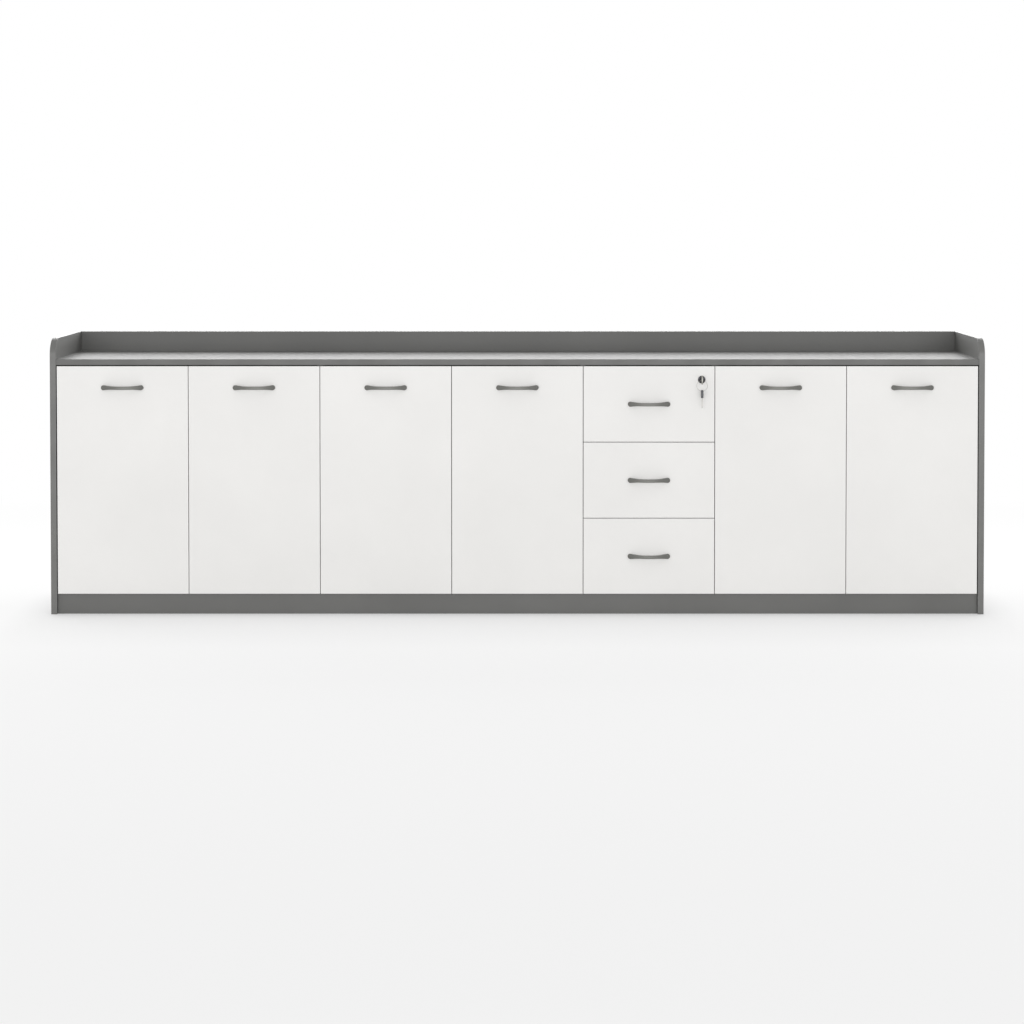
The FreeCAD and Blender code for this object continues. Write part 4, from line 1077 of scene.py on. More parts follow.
@dataclass
class Fasteners:
    """Cam locks with their bolts, guide screws and shelf pins."""

    cam_sides: int = 28
    cam_radius: float = 7.5 * MM
    cam_depth: float = 12.5 * MM
    cam_dish: float = 0.5 * MM
    cam_recess: float = 2.5 * MM
    cam_turn: float = 12
    bolt_long: float = 45 * MM
    bolt_radius: float = 3.5 * MM
    bolt_depth: float = 9 * MM
    neck: float = 0.72
    neck_start: float = 9 * MM
    neck_end: float = 3 * MM
    joint_longer_than: float = 30 * MM
    middle_height: float = 400 * MM
    guide_head: float = 1.5 * MM
    guide_shank: float = 0.6
    guide_turn: float = 20
    collar_radius: float = 4.2 * MM
    collar: float = 0.8 * MM
    pin_sunk: float = 8 * MM

    def build(self) -> None:
        """Replace the plain rods by real fasteners."""
        self.knock_down()
        self.pins()

    def knock_down(self) -> None:
        """Cams with their bolts, and the lock bar's guide screws."""
        cams, bolts, screws = [], [], []
        for low, high in solids("carcass_fasteners"):
            if max(high - low) > self.joint_longer_than:
                cam, bolt = self.joint_places(low, high)
                cams.append(cam)
                bolts.append(bolt)
            else:
                screws.append((low, high))
        parts = [copies("cams", self.cam(), cams), copies("bolts", self.bolt(), bolts)]
        parts.append(self.guide_screws(screws))
        fasteners = smooth(join("carcass_fastener_set", parts))
        finish_piece(fasteners, "carcass", (FASTENER_ZINC,), ("carcass_fasteners",))

    def joint_places(self, low: Vector, high: Vector) -> tuple[Matrix, Matrix]:
        """Places of a cam and of its bolt.

        Args:
            low: Lowest corner of the pair.
            high: Highest corner of the pair.

        Returns:
            The cam's place and the bolt's place; the bolt is modelled towards its cam.
        """
        size, seat = high - low, (low + high) / 2
        along = Axis.Z if size.z > size.x else Axis.X
        middle = self.middle_height if along is Axis.Z else 0
        outward = 1 if seat[along.value] > middle else -1
        end = high[along.value] if outward > 0 else low[along.value]
        seat[along.value] = end - outward * (size[along.value] - self.cam_radius)
        if along is Axis.X:
            opening = -UP
            seat.z = low.z
        else:
            opening = RIGHT * side_of_upright(seat.x)
            seat.x = high.x if opening.x > 0 else low.x
        inward = Vector((0, 0, 0))
        inward[along.value] = -outward
        root = seat - opening * self.bolt_depth
        root[along.value] = end
        cam_place = facing(opening, seat - opening * self.cam_depth, self.cam_turn)
        return cam_place, facing(inward, root)

    def cam(self) -> bpy.types.Object:
        """Cam lock about +Z with a dished face and a cross recess.

        Returns:
            The cam, with its face at the top.
        """
        depth, radius, dish = self.cam_depth, self.cam_radius, self.cam_dish
        steps = [
            (radius, 0.5 * MM),
            (radius, depth - 0.4 * MM),
            (radius * 0.95, depth),
            (radius * 0.82, depth),
            (radius * 0.8, depth - dish),
        ]
        cam = turned("cam", self.cam_sides, radius * 0.94, steps)
        recess = cross_tool("recess", radius * 1.15, radius * 0.26, depth - dish, self.cam_recess)
        return boolean(cam, recess, Merge.CUT)

    def bolt(self) -> bpy.types.Object:
        """Cam bolt about +Z with a waisted neck below the head that the cam grips.

        Returns:
            The bolt, which starts at z = 0.
        """
        long, radius = self.bolt_long, self.bolt_radius
        neck = radius * self.neck
        steps = [
            (radius, 0.6 * MM),
            (radius, long - self.neck_start),
            (neck, long - self.neck_start + 1 * MM),
            (neck, long - self.neck_end),
            (radius, long - self.neck_end + 0.4 * MM),
            (radius, long - 0.5 * MM),
            (radius * 0.7, long),
        ]
        return turned("bolt", 16, radius * 0.7, steps)

    def guide_screws(self, boxes: Sequence[Box]) -> bpy.types.Object:
        """Shoulder screws of the lock bar, with cross recesses.

        Args:
            boxes: Corners of each screw; the head is at -X.

        Returns:
            The joined screws.
        """
        low, high = boxes[0]
        head, tall = (high.y - low.y) / 2, self.guide_head
        part = screw("guide", head, tall, head * self.guide_shank, high.x - low.x - tall)
        places = []
        for low, high in boxes:
            at = (low.x + tall, (low.y + high.y) / 2, (low.z + high.z) / 2)
            places.append(facing(LEFT, at, self.guide_turn))
        return copies("guides", part, places)

    def pins(self) -> None:
        """Shelf pins with a collar against the board and a rounded nose."""
        boxes = solids("shelf_pins")
        low, high = boxes[0]
        radius, long = (high.z - low.z) / 2, high.x - low.x
        sunk = self.pin_sunk
        steps = [
            (radius, 0.6 * MM),
            (radius, sunk),
            (self.collar_radius, sunk),
            (self.collar_radius, sunk + self.collar),
            (radius, sunk + self.collar),
            (radius, long - 1.0 * MM),
            (radius * 0.8, long - 0.3 * MM),
            (radius * 0.45, long),
        ]
        pin = turned("pin", 16, radius * 0.8, steps)
        places = []
        for low, high in boxes:
            middle = (low + high) / 2
            out = side_of_upright(middle.x)
            at = (low.x if out > 0 else high.x, middle.y, middle.z)
            places.append(facing(RIGHT * out, at))
        pins = smooth(copies("shelf_pin_set", pin, places))
        finish_piece(pins, "carcass", (FASTENER_ZINC,), ("shelf_pins",))


@dataclass(frozen=True)
class ScrewSize:
    """Sizes of a pan-head screw: head radius and height, shank radius and length."""

    head: float
    tall: float
    shank: float
    long: float

    def make(self, name: str) -> bpy.types.Object:
        """Model the screw about +Z."""
        return screw(name, self.head, self.tall, self.shank, self.long)


@dataclass
class Hinges:
    """Concealed hinges: mounting plates, arms, cups and the links between them."""

    plate_thick: float = 2 * MM
    plate_wide: float = 16 * MM
    plate_turn: float = 30
    plate_screw: ScrewSize = ScrewSize(3.6 * MM, 1.5 * MM, 2 * MM, 1.8 * MM)
    saddle_high: float = 8 * MM
    saddle_wide: float = 13 * MM
    saddle_long: float = 40 * MM
    screw_spacing: float = 32 * MM
    wing_end: float = 6.5 * MM
    pressed_edge: float = 1.2 * MM
    arm_thick: float = 5 * MM
    arm_lip: float = 1.6 * MM
    arm_sunk: float = 0.7 * MM
    arm_top_slope: float = 0.95
    arm_seats: tuple[float, float] = (9 * MM, 26 * MM)
    arm_turn: float = 15
    arm_screw: ScrewSize = ScrewSize(3.2 * MM, 1.2 * MM, 2 * MM, 2 * MM)
    inset: float = 0.3 * MM
    knuckle: float = 12 * MM
    knuckle_edge: float = 2 * MM
    cup_wider_than: float = 30 * MM
    cup_radius: float = 17.4 * MM
    cup_depth: float = 11.5 * MM
    cup_wall: float = 1.2 * MM
    cup_turn: float = 90
    flange_thick: float = 1 * MM
    rim: float = 19 * MM
    ear_near: float = 17 * MM
    ear_far: float = 29 * MM
    ear_round_from: float = 25 * MM
    ear_edge: float = 4 * MM
    ear_wide: float = 13 * MM
    ear_play: float = 0.02 * MM
    ear_seat: float = 22.5 * MM
    ear_turn: float = 40
    ear_screw: ScrewSize = ScrewSize(3.2 * MM, 1.1 * MM, 1.6 * MM, 0.9 * MM)
    handle_shank: float = 2 * MM
    handle_turn: float = 25
    link_wide: float = 9 * MM
    link_thick: float = 2 * MM
    link_apart: float = 3.2 * MM
    link_out: float = 4 * MM
    link_lift: float = 0.6 * MM
    link_ends: float = 1.5 * MM
    link_steps: int = 14
    link_bend: float = 50

    def build(self) -> None:
        """Make the carcass halves, then the door halves with their links."""
        self.plates()
        self.arms()
        for number in DOORS:
            self.door_half(number)

    def mirrored(self, at: Sequence[float], way: int) -> Matrix:
        """Place for a part modelled to look along +X.

        Args:
            at: Where its origin goes.
            way: 1 if it looks along +X, -1 along -X.

        Returns:
            The place.
        """
        return Matrix.Translation(Vector(at)) @ Matrix.Scale(way, 4, RIGHT)

    def plates(self) -> None:
        """Mounting plates with round wing ends, a stepped saddle and two screws each."""
        boxes = solids("hinge_plates")
        low, high = boxes[0]
        tall = high.z - low.z
        wide, thick = self.plate_wide, self.plate_thick
        wings = block("wings", (0, -wide / 2, -tall / 2), (thick, wide / 2, tall / 2))
        round_edges(wings, self.wing_end, runs_along(Axis.X), 5)
        saddle_low = (0, -self.saddle_long / 2, -self.saddle_wide / 2)
        saddle_top = (self.saddle_high, self.saddle_long / 2, self.saddle_wide / 2)
        saddle = block("saddle", saddle_low, saddle_top)
        round_edges(saddle, self.pressed_edge, is_sharp, 2)
        plate = boolean(wings, saddle, Merge.WELD)
        heights = (-self.screw_spacing / 2, self.screw_spacing / 2)
        heads = [facing(RIGHT, (thick, 0, height), self.plate_turn) for height in heights]
        screws = copies("plate_screws", self.plate_screw.make("plate_screw"), heads)
        pattern = join("plate", [plate, screws])
        places = []
        for low, high in boxes:
            middle = (low + high) / 2
            way = side_of_upright(middle.x)
            at = (low.x if way > 0 else high.x, middle.y, middle.z)
            places.append(self.mirrored(at, way))
        plates = smooth(copies("hinge_plate_set", pattern, places))
        finish_piece(plates, "carcass", (HINGE_NICKEL,), ("hinge_plates",))

    def arms(self) -> None:
        """Pressed arms with a sunk top, two adjusting screws and a rounded knuckle."""
        parts = []
        for index, (low, high) in enumerate(solids("hinge_arms")):
            way = side_of_upright((low.x + high.x) / 2)
            parts.append(self.arm(index, high - low, low, way))
        arms = smooth(join("hinge_arm_set", parts))
        finish_piece(arms, "carcass", (HINGE_NICKEL,), ("hinge_arms",))

    def arm(self, index: int, size: Vector, low: Vector, way: int) -> bpy.types.Object:
        """Make one arm, first as if it looked along +X.

        Args:
            index: Number of the arm.
            size: Size of the arm with its knuckle.
            low: Lowest corner of the arm.
            way: 1 if it looks along +X, -1 along -X.

        Returns:
            The arm in its place.
        """
        half = size.z / 2
        strip = block("strip", (0, self.inset, -half), (self.arm_thick, size.y, half))
        round_edges(strip, self.pressed_edge, runs_along(Axis.Y), 3)
        with editing(strip) as mesh:
            choose(strip, mesh.faces, lambda face: face.normal.x > self.arm_top_slope)
            bpy.ops.mesh.inset(thickness=self.arm_lip)
            sink = {"value": (-self.arm_sunk, 0, 0)}
            bpy.ops.mesh.extrude_region_move(TRANSFORM_OT_translate=sink)
        reach = size.y - self.saddle_long
        thick = self.knuckle / 2
        knuckle = block("knuckle", (0, 0, -thick), (size.x, reach - self.inset, thick))
        outer = both(runs_along(Axis.Z), within(Axis.X, SAME_POINT, math.inf))
        round_edges(knuckle, self.knuckle_edge, outer, 3)
        arm = boolean(strip, knuckle, Merge.WELD)
        top = self.arm_thick - self.arm_sunk
        heads = [facing(RIGHT, (top, reach + seat, 0), self.arm_turn) for seat in self.arm_seats]
        screws = copies("arm_screws", self.arm_screw.make("arm_screw"), heads)
        pattern = join(f"arm_{index}", [arm, screws])
        at = (low.x if way > 0 else low.x + size.x, low.y, low.z + half)
        return copies(f"arm_{index}", pattern, [self.mirrored(at, way)])

    def cup(self) -> bpy.types.Object:
        """One hinge cup about +Z, which points out of the door's back, with its ears and screws.

        Returns:
            The cup, with the door's back at z = 0.
        """
        outer, inner = self.cup_radius, self.cup_radius - self.cup_wall
        deep, top = self.cup_depth, self.cup_depth + self.flange_thick
        steps = [
            (outer, 1.0 * MM),
            (outer, deep),
            (self.rim, deep),
            (self.rim, deep + self.flange_thick * 0.6),
            (self.rim - 0.4 * MM, top),
            (inner + 0.5 * MM, top),
            (inner, top - 0.5 * MM),
            (inner, self.cup_wall + 1.5 * MM),
            (inner - 1.5 * MM, self.cup_wall),
        ]
        shell = turned("cup", 40, outer - 1.0 * MM, steps)
        shell.location.z = -deep
        fix_place(shell)
        parts = [shell]
        for side in (-1, 1):
            near, far = sorted((side * self.ear_near, side * self.ear_far))
            low = (near, -self.ear_wide / 2, self.ear_play)
            ear = block("ear", low, (far, self.ear_wide / 2, self.flange_thick - self.ear_play))
            start, end = sorted((side * self.ear_round_from, side * math.inf))
            tip = both(runs_along(Axis.Z), within(Axis.X, start, end))
            parts.append(round_edges(ear, self.ear_edge, tip, 4))
        heads = []
        for side in (-1, 1):
            at = (side * self.ear_seat, 0, self.flange_thick)
            heads.append(facing(UP, at, self.ear_turn * side))
        parts.append(copies("ear_screws", self.ear_screw.make("ear_screw"), heads))
        return join("cup_pattern", parts)

    def door_half(self, number: int) -> None:
        """Make a door's two cups, its handle screws and the links to the arms.

        Args:
            number: Number of the door.
        """
        node = f"door_fittings_{number}"
        cups, screws = [], []
        for low, high in solids(node):
            (cups if high.x - low.x > self.cup_wider_than else screws).append((low, high))
        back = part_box(f"door_panel_{number}")[1].y
        parts = [copies("cups", self.cup(), self.back_seats(cups, back, self.cup_turn))]
        low, high = screws[0]
        size = ScrewSize((high.x - low.x) / 2, high.y - back, self.handle_shank, back - low.y)
        seats = self.back_seats(screws, back, self.handle_turn)
        parts.append(copies("handle_screws", size.make("handle_screw"), seats))
        fittings = smooth(join(f"{node}_pressed", parts))
        finish_piece(fittings, f"door_{number}", (HINGE_NICKEL,), (node,))
        self.links(number, back, cups)

    def back_seats(self, boxes: Sequence[Box], back: float, spin: float) -> list[Matrix]:
        """Places on a door's back, in the middle of each box.

        Args:
            boxes: Corners of each fitting.
            back: Y of the door's back.
            spin: Turn of each fitting about its own axis in degrees.

        Returns:
            The places.
        """
        middles = [(low + high) / 2 for low, high in boxes]
        return [facing(BACKWARD, (middle.x, back, middle.z), spin) for middle in middles]

    def links(self, number: int, back: float, cups: Sequence[Box]) -> None:
        """Links from the knuckles into the cups, cut into short steps along their length.

        Args:
            number: Number of the door.
            back: Y of the door's back.
            cups: Corners of the door's cups.
        """
        start = back + self.link_out
        end = back - self.cup_depth + self.cup_wall + self.link_lift
        straps = []
        for low, high in cups:
            middle = (low + high) / 2
            for side in (-1, 1):
                x = middle.x + side * self.link_apart
                corner = (x - self.link_thick / 2, end, middle.z - self.link_wide / 2)
                other = (x + self.link_thick / 2, start, middle.z + self.link_wide / 2)
                strap = block("strap", corner, other)
                with editing(strap, Pick.EDGES) as mesh:
                    choose(strap, mesh.edges, runs_along(Axis.Y))
                    bpy.ops.mesh.subdivide(number_cuts=self.link_steps)
                straps.append(strap)
        links = join(f"hinge_links_{number}", straps)
        focus(links)
        bpy.ops.object.shade_smooth_by_angle(angle=math.radians(self.link_bend))
        links.data.materials.append(HINGE_NICKEL.material())
        middle = (cups[0][0] + cups[0][1]) / 2
        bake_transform(links)
        log.info("%s bends between carcass and door_%d", links.name, number)


# --------------------------------------------------------------------------------------
# Drawers.


@dataclass
class Drawers:
    """Drawer boxes, their fittings and slides."""

    board: float = 15 * MM
    bottom: float = 8 * MM
    bottom_rise: float = 12 * MM
    trim: float = 0.7 * MM
    top_slope: float = 0.3
    member_longer_than: float = 200 * MM
    member_web: float = 1.4 * MM
    member_screws: tuple[float, ...] = (0.12, 0.50, 0.88)
    member_screw: ScrewSize = ScrewSize(3.4 * MM, 1.3 * MM, 1.8 * MM, 1.2 * MM)
    member_screw_turn: float = 30

    def build(self) -> None:
        """Build every drawer box and dress the slides."""
        for number in DRAWERS:
            self.box(number)
            dress_node(f"drawer_fittings_{number}", SLIDE_ZINC)
            dress_node(f"slide_middle_{number}", SLIDE_ZINC)
            self.slide_screws(number)
        dress_node("slide_outer_members", SLIDE_ZINC)

    def box(self, number: int) -> None:
        """Build a drawer box from its five boards.

        Args:
            number: Number of the drawer.
        """
        node = f"drawer_box_{number}"
        low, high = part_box(node)
        left, right = low.x + self.board, high.x - self.board
        front, back = low.y + self.board, high.y - self.board
        base = low.z + self.bottom_rise
        corners = [
            (low, (left, high.y, high.z)),
            ((right, low.y, low.z), high),
            ((left, low.y, low.z), (right, front, high.z)),
            ((left, back, low.z), (right, high.y, high.z)),
            ((left, front, base), (right, back, base + self.bottom)),
        ]
        parts = []
        for index, (start, end) in enumerate(corners):
            part = block(f"box_board_{index}", start, end)
            parts.append(round_edges(part, self.trim, is_sharp, 2))
        boards = smooth(join(f"{node}_boards", parts))
        for face in boards.data.polygons:
            on_top = face.normal.z > self.top_slope and face.center.z > high.z - 2 * self.trim
            face.material_index = 1 if on_top else 0
        finish_piece(boards, f"drawer_{number}", (DRAWER_FACE, GREY_EDGE_PAINTED_LIGHT), (node,))

    def slide_screws(self, number: int) -> None:
        """Pan-head screws that hold the inner members on the drawer's sides.

        Args:
            number: Number of the drawer.
        """
        places = []
        box_low, box_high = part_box(f"drawer_box_{number}")
        for low, high in solids(f"drawer_fittings_{number}"):
            if high.y - low.y < self.member_longer_than:
                continue
            way = -1 if low.x < box_low.x else 1
            web = (box_low.x if way < 0 else box_high.x) + way * self.member_web
            for step, share in enumerate(self.member_screws):
                at = (web, low.y + (high.y - low.y) * share, (low.z + high.z) / 2)
                places.append(facing(RIGHT * way, at, self.member_screw_turn * step))
        pattern = self.member_screw.make("slide_screw")
        screws = smooth(copies(f"slide_screws_{number}", pattern, places))
        finish_piece(screws, f"drawer_{number}", (FASTENER_ZINC,))


# --------------------------------------------------------------------------------------
# Lock and keys.


@dataclass
class CentralLock:
    """Lock housing, plug and the sliding lock bar."""

    plug_edge: float = 0.25 * MM
    sides: int = 48
    bore: float = 7.05 * MM
    barrel: float = 9 * MM
    chamfer: float = 0.4 * MM
    thread_start: float = 1.0 * MM
    thread_clear: float = 3 * MM
    pitch: float = 1.5 * MM
    thread_depth: float = 0.5 * MM

    def build(self) -> None:
        """Make the lock's parts."""
        self.housing()
        plug = merged_copy("lock_plug", "lock_plug_turned")
        round_edges(plug, self.plug_edge, is_sharp, 1)
        finish_piece(smooth(plug), "lock_plug", (BLACK_NICKEL,), ("lock_plug",))
        dress_node("lock_bar", BAR_ZINC)

    def profile(self, long: float, proud: float, rosette: float) -> list[tuple[float, float]]:
        """Radius and height of each ring of the housing, from the barrel's end to the bore.

        Args:
            long: Length of the housing.
            proud: How far the rosette stands off the drawer front.
            rosette: Radius of the rosette.

        Returns:
            The rings.
        """
        barrel, pitch, neck = self.barrel, self.pitch, long - proud
        steps = [(barrel, self.chamfer)]
        for turn in range(int((neck - self.thread_clear) / pitch)):
            at = self.thread_start + turn * pitch
            root = (barrel - self.thread_depth, at + pitch / 2)
            steps += [(barrel, at), root, (barrel, at + pitch)]
        return steps + [
            (barrel, neck),
            (rosette, neck),
            (rosette, neck + 0.5 * MM),
            (rosette * 0.96, long - proud * 0.35),
            (rosette * 0.86, long),
            (self.bore + self.chamfer, long),
            (self.bore, long - self.chamfer),
            (self.bore, self.chamfer),
        ]

    def housing(self) -> None:
        """Housing with a domed rosette, a threaded barrel behind it and a bore for the plug.

        The two round caps are its only faces with more than four corners. They are taken
        out, and the rims that they leave are bridged to close the bore's wall.
        """
        low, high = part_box("lock_housing")
        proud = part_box("drawer_front_1")[0].y - low.y
        steps = self.profile(high.y - low.y, proud, (high.x - low.x) / 2)
        shell = turned("lock_housing_turned", self.sides, self.barrel - self.chamfer, steps)
        with editing(shell) as mesh:
            choose(shell, mesh.faces, lambda face: len(face.verts) > 4)
            bpy.ops.mesh.delete(type="ONLY_FACE")
            bpy.ops.mesh.select_all(action="DESELECT")
        with editing(shell, Pick.EDGES) as mesh:
            choose(shell, mesh.edges, lambda edge: edge.is_boundary)
            bpy.ops.mesh.bridge_edge_loops()
            bpy.ops.mesh.select_all(action="SELECT")
            bpy.ops.mesh.normals_make_consistent(inside=False)
        place = facing(FORWARD, ((low.x + high.x) / 2, high.y, (low.z + high.z) / 2))
        housing = smooth(copies("lock_housing_turned", shell, [place]), 40)
        finish_piece(housing, "drawer_1", (BLACK_NICKEL,), ("lock_housing",))


@dataclass
class KeySet:
    """The key in the lock, the ring and the spare key."""

    head_edge: float = 0.7 * MM
    blade_edge: float = 0.3 * MM
    lock_head: float = 21 * MM
    spare_head: float = 24 * MM
    blade_half: float = 3.5 * MM
    bit_start: float = 3 * MM
    bit_pitch: float = 4.2 * MM
    bit_long: float = 1.9 * MM
    bit_depths: tuple[float, ...] = (1.6 * MM, 0.8 * MM, 2.0 * MM, 1.2 * MM, 0.6 * MM)
    bit_past: float = 1 * MM
    bit_wide: float = 2 * MM
    ring_radius: float = 16 * MM
    wire: float = 0.42 * MM
    wire_sides: int = 10
    coil_turn: float = 710
    coil_steps: int = 180

    def build(self) -> None:
        """Make the two keys and the split ring."""
        self.lock_key()
        self.spare_key()
        self.ring()

    def lock_key(self) -> None:
        """Plain nickel key in the lock, its head rounded all over."""
        key = merged_copy("lock_key", "lock_key_pressed")
        head_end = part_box("lock_key")[0].y + self.lock_head
        head = both(is_sharp, within(Axis.Y, -math.inf, head_end + self.blade_edge))
        round_edges(key, self.head_edge, head, 2)
        finish_piece(smooth(key, 40), "lock_plug", (LOCK_KEY_NICKEL,), ("lock_key",))

    def spare_key(self) -> None:
        """Spare key with a dark grey moulded head and a bitted steel blade."""
        key = merged_copy("spare_key", "spare_key_moulded")
        low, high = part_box("spare_key")
        head_end = high.z - self.spare_head - self.blade_edge
        round_edges(key, self.head_edge, both(is_sharp, within(Axis.Z, head_end, math.inf)), 2)
        middle = (low + high) / 2
        for step, depth in enumerate(self.bit_depths):
            at = low.z + self.bit_start + step * self.bit_pitch
            for side in (-1, 1):
                edge = middle.y + side * self.blade_half
                near, far = sorted((edge - side * depth, edge + side * self.bit_past))
                corner = (middle.x - self.bit_wide, near, at)
                other = (middle.x + self.bit_wide, far, at + self.bit_long)
                boolean(key, block("notch", corner, other), Merge.CUT)
        for face in key.data.polygons:
            face.material_index = 0 if face.center.z > head_end else 1
        finish_piece(smooth(key, 40), "spare_key", (KEY_PLASTIC, KEY_NICKEL), ("spare_key",))

    def ring(self) -> None:
        """Split ring: two turns of thin wire side by side."""
        low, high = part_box("key_ring")
        leave_edit_mode()
        bpy.ops.mesh.primitive_circle_add(
            vertices=self.wire_sides,
            radius=self.wire,
            location=(self.ring_radius, 0, -self.wire),
            rotation=(math.radians(90), 0, 0),
        )
        wire = fix_place(bpy.context.object)
        wire.name = "split_key_ring"
        bpy.ops.object.modifier_add(type="SCREW")
        coil = wire.modifiers[-1]
        coil.angle = math.radians(self.coil_turn)
        coil.screw_offset = 2 * self.wire
        coil.steps = coil.render_steps = self.coil_steps
        coil.use_smooth_shade = False
        bpy.ops.object.modifier_apply(modifier=coil.name)
        wire.matrix_world = facing(FORWARD, (low + high) / 2)
        fix_place(wire)
        with editing(wire, Pick.EDGES):
            bpy.ops.mesh.select_all(action="SELECT")
            bpy.ops.mesh.fill_holes(sides=0)
            bpy.ops.mesh.normals_make_consistent(inside=False)
        finish_piece(smooth(wire, 60), "key_ring", (KEY_NICKEL,), ("key_ring",))


# --------------------------------------------------------------------------------------
# Studio.


@dataclass(frozen=True)
class Softbox:
    """A soft rectangular lamp: its place, what it points at, its size and its power in watts."""

    name: str
    place: Point
    target: Point
    size: tuple[float, float]
    power: float

    def hang(self) -> None:
        """Add the lamp to the scene."""
        lamp = bpy.data.lights.new(self.name, "AREA")
        lamp.shape = "RECTANGLE"
        lamp.size, lamp.size_y = self.size
        lamp.energy = self.power
        holder = bpy.data.objects.new(self.name, lamp)
        bpy.context.scene.collection.objects.link(holder)
        holder.location = self.place
        aim = Vector(self.target) - Vector(self.place)
        holder.rotation_euler = aim.to_track_quat("-Z", "Y").to_euler()


@dataclass(frozen=True)
class Fade:
    """A factor that rises to 1 between two distances, fast at first if its power is below 1."""

    near: float
    far: float
    low: float
    power: float

    def factor(self, tree: bpy.types.NodeTree, away: bpy.types.NodeSocket) -> bpy.types.NodeSocket:
        """Draw the factor.

        Args:
            tree: Node tree of the floor.
            away: The distance.

        Returns:
            The factor.
        """
        inputs = {"Value": away, "From Min": self.near, "From Max": self.far}
        share = add_node(tree, "ShaderNodeMapRange", {}, inputs).outputs["Result"]
        inputs = {0: share, 1: self.power}
        bent = add_node(tree, "ShaderNodeMath", {"operation": "POWER"}, inputs).outputs[0]
        inputs = {"Value": bent, "To Min": self.low, "To Max": 1.0}
        return add_node(tree, "ShaderNodeMapRange", {}, inputs).outputs["Result"]


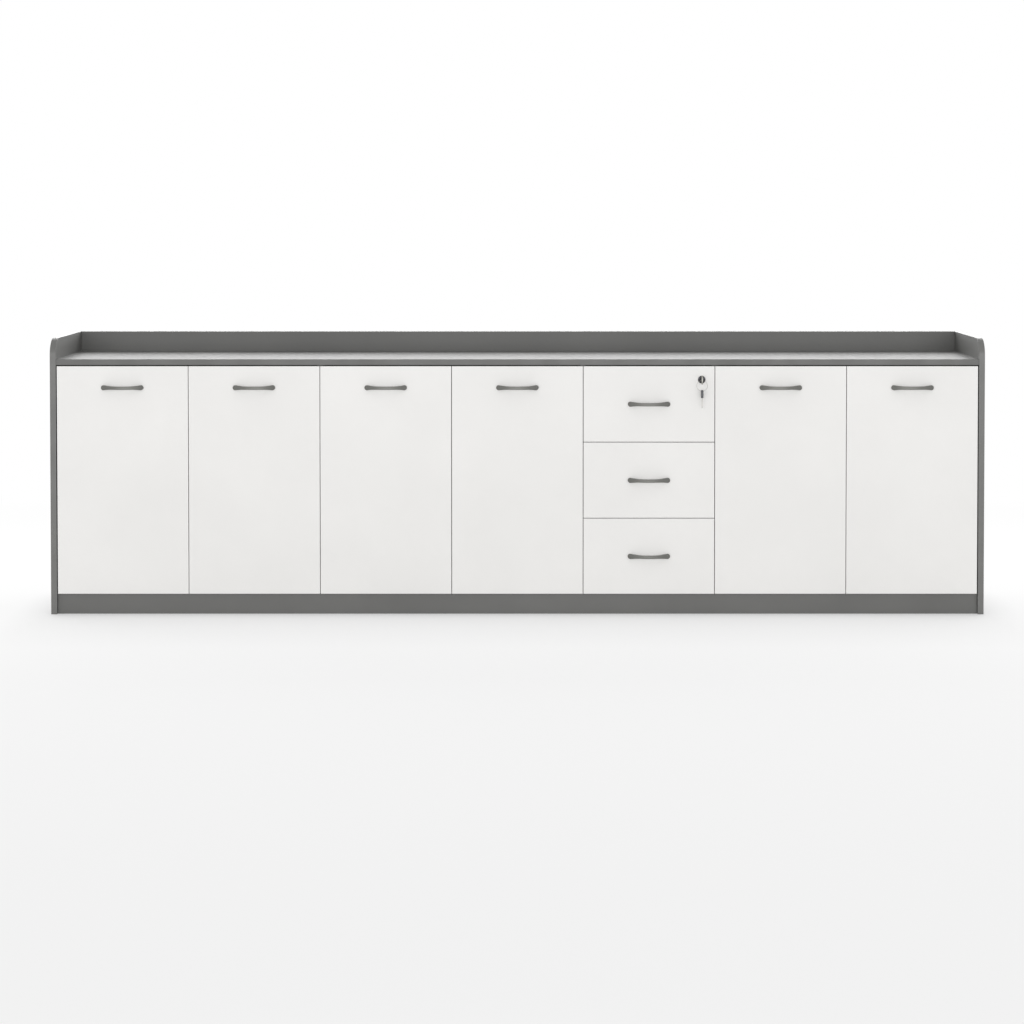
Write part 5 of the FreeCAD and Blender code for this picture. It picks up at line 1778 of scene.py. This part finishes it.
@dataclass
class Studio:
    """Pale floor, soft lamps, white surroundings and the camera."""

    camera_place: Point = (0.0379, -6.8464, 1.2297)
    camera_pitch: float = 1.6015
    lens: float = 78.35
    shift_x: float = -0.0176
    shift_y: float = -0.2393
    world_light: float = 0.67
    front_softbox: Softbox = Softbox("front_softbox", (0, -8.0, 1.1), (0, 0, 0.5), (9.0, 2.0), 238)
    rear_softbox: Softbox = Softbox("rear_softbox", (0, 1.6, 1.5), (0, 0, 0.8), (9.0, 1.2), 102)
    floor_colour: str = "#EBEBEB"
    floor_half: float = 30.0
    room_fade: Fade = Fade(1.1, 7.2, 0.55, 1.0)
    room_centre: Point = (0.0, -4.5, 0.0)
    # Less white near the object's footprint: painted shade that deepens its real contact shadow.
    painted_shade_fade: Fade = Fade(0.0, 0.5, 0.45, 0.5)
    footprint: Point = (1.4, 0.2, 0.0)
    painted_shade_stretch: Point = (4, 1, 0)

    def build(self) -> None:
        """Set up floor, light and camera."""
        self.floor()
        self.world()
        self.front_softbox.hang()
        self.rear_softbox.hang()
        self.camera()
        bpy.context.scene.view_settings.view_transform = "Standard"

    def seen_by_camera(self, tree: bpy.types.NodeTree) -> bpy.types.NodeSocket:
        """1 for camera, glossy and transmission rays, else 0.

        Args:
            tree: Node tree of the floor or the world.

        Returns:
            The value.
        """
        rays = add_node(tree, "ShaderNodeLightPath").outputs
        seen = rays["Is Camera Ray"]
        for kind in ("Is Glossy Ray", "Is Transmission Ray"):
            inputs = {0: seen, 1: rays[kind]}
            seen = add_node(tree, "ShaderNodeMath", {"operation": "MAXIMUM"}, inputs).outputs[0]
        return seen

    def white_share(self, tree: bpy.types.NodeTree) -> bpy.types.NodeSocket:
        """How white the floor is: more so away from the camera's room and from the object; the lower share
        near the object paints shade round its footprint.

        Args:
            tree: Node tree of the floor.

        Returns:
            The share, from 0 to 1.
        """
        place = add_node(tree, "ShaderNodeTexCoord").outputs["Object"]
        kind = "ShaderNodeVectorMath"
        inputs = {0: place, 1: self.room_centre}
        from_room = add_node(tree, kind, {"operation": "DISTANCE"}, inputs).outputs["Value"]
        step = add_node(tree, kind, {"operation": "ABSOLUTE"}, {0: place})
        for operation, number in (
            ("SUBTRACT", self.footprint),
            ("MAXIMUM", (0, 0, 0)),
            ("MULTIPLY", self.painted_shade_stretch),
        ):
            inputs = {0: step.outputs["Vector"], 1: number}
            step = add_node(tree, kind, {"operation": operation}, inputs)
        length = add_node(tree, kind, {"operation": "LENGTH"}, {0: step.outputs["Vector"]})
        share = self.seen_by_camera(tree)
        for fade, away in ((self.room_fade, from_room), (self.painted_shade_fade, length.outputs["Value"])):
            inputs = {0: share, 1: fade.factor(tree, away)}
            share = add_node(tree, "ShaderNodeMath", {"operation": "MULTIPLY"}, inputs).outputs[0]
        return share

    def floor(self) -> None:
        """Matt pale floor that fades to white away from the object; round the object it stays darker, its
        real shadow deepened by painted shade.
        """
        leave_edit_mode()
        bpy.ops.mesh.primitive_plane_add(size=2 * self.floor_half)
        floor = bpy.context.object
        floor.name = "studio_floor"
        made = bpy.data.materials.new("matt_studio_floor")
        made.use_nodes = True
        tree = made.node_tree
        tree.nodes.clear()
        paint = add_node(tree, "ShaderNodeBsdfDiffuse", {}, {"Color": linear(self.floor_colour)})
        white = add_node(tree, "ShaderNodeEmission", {}, {"Strength": 1.0})
        inputs = {0: self.white_share(tree), 1: paint.outputs["BSDF"], 2: white.outputs["Emission"]}
        mix = add_node(tree, "ShaderNodeMixShader", {}, inputs)
        add_node(tree, "ShaderNodeOutputMaterial", {}, {"Surface": mix.outputs["Shader"]})
        floor.data.materials.append(made)

    def world(self) -> None:
        """White surroundings, a little dimmer as a light than as seen."""
        world = bpy.data.worlds.new("white_studio")
        world.use_nodes = True
        tree = world.node_tree
        tree.nodes.clear()
        inputs = {"Value": self.seen_by_camera(tree), "To Min": self.world_light, "To Max": 1.0}
        level = add_node(tree, "ShaderNodeMapRange", {}, inputs).outputs["Result"]
        inputs = {"Color": (1, 1, 1, 1), "Strength": level}
        light = add_node(tree, "ShaderNodeBackground", {}, inputs)
        add_node(tree, "ShaderNodeOutputWorld", {}, {"Surface": light.outputs["Background"]})
        bpy.context.scene.world = world

    def camera(self) -> None:
        """Level-headed camera in front, a little above the worktop."""
        lens = bpy.data.cameras.new("front_camera")
        lens.lens = self.lens
        lens.shift_x = self.shift_x
        lens.shift_y = self.shift_y
        holder = bpy.data.objects.new("front_camera", lens)
        bpy.context.scene.collection.objects.link(holder)
        holder.location = self.camera_place
        holder.rotation_euler = (math.radians(90 - self.camera_pitch), 0, 0)
        bpy.context.scene.camera = holder


def main() -> None:
    """Build the sub-assemblies in order."""
    logging.basicConfig(level=logging.INFO, format="%(name)s: %(message)s")
    Studio().build()
    Carcass(BoardShop()).build()
    Fronts(BoardShop(trim=0.5 * MM)).build()
    Handles().build()
    Fasteners().build()
    Hinges().build()
    Drawers().build()
    CentralLock().build()
    KeySet().build()
    leave_edit_mode()


if __name__ == "__main__":
    main()
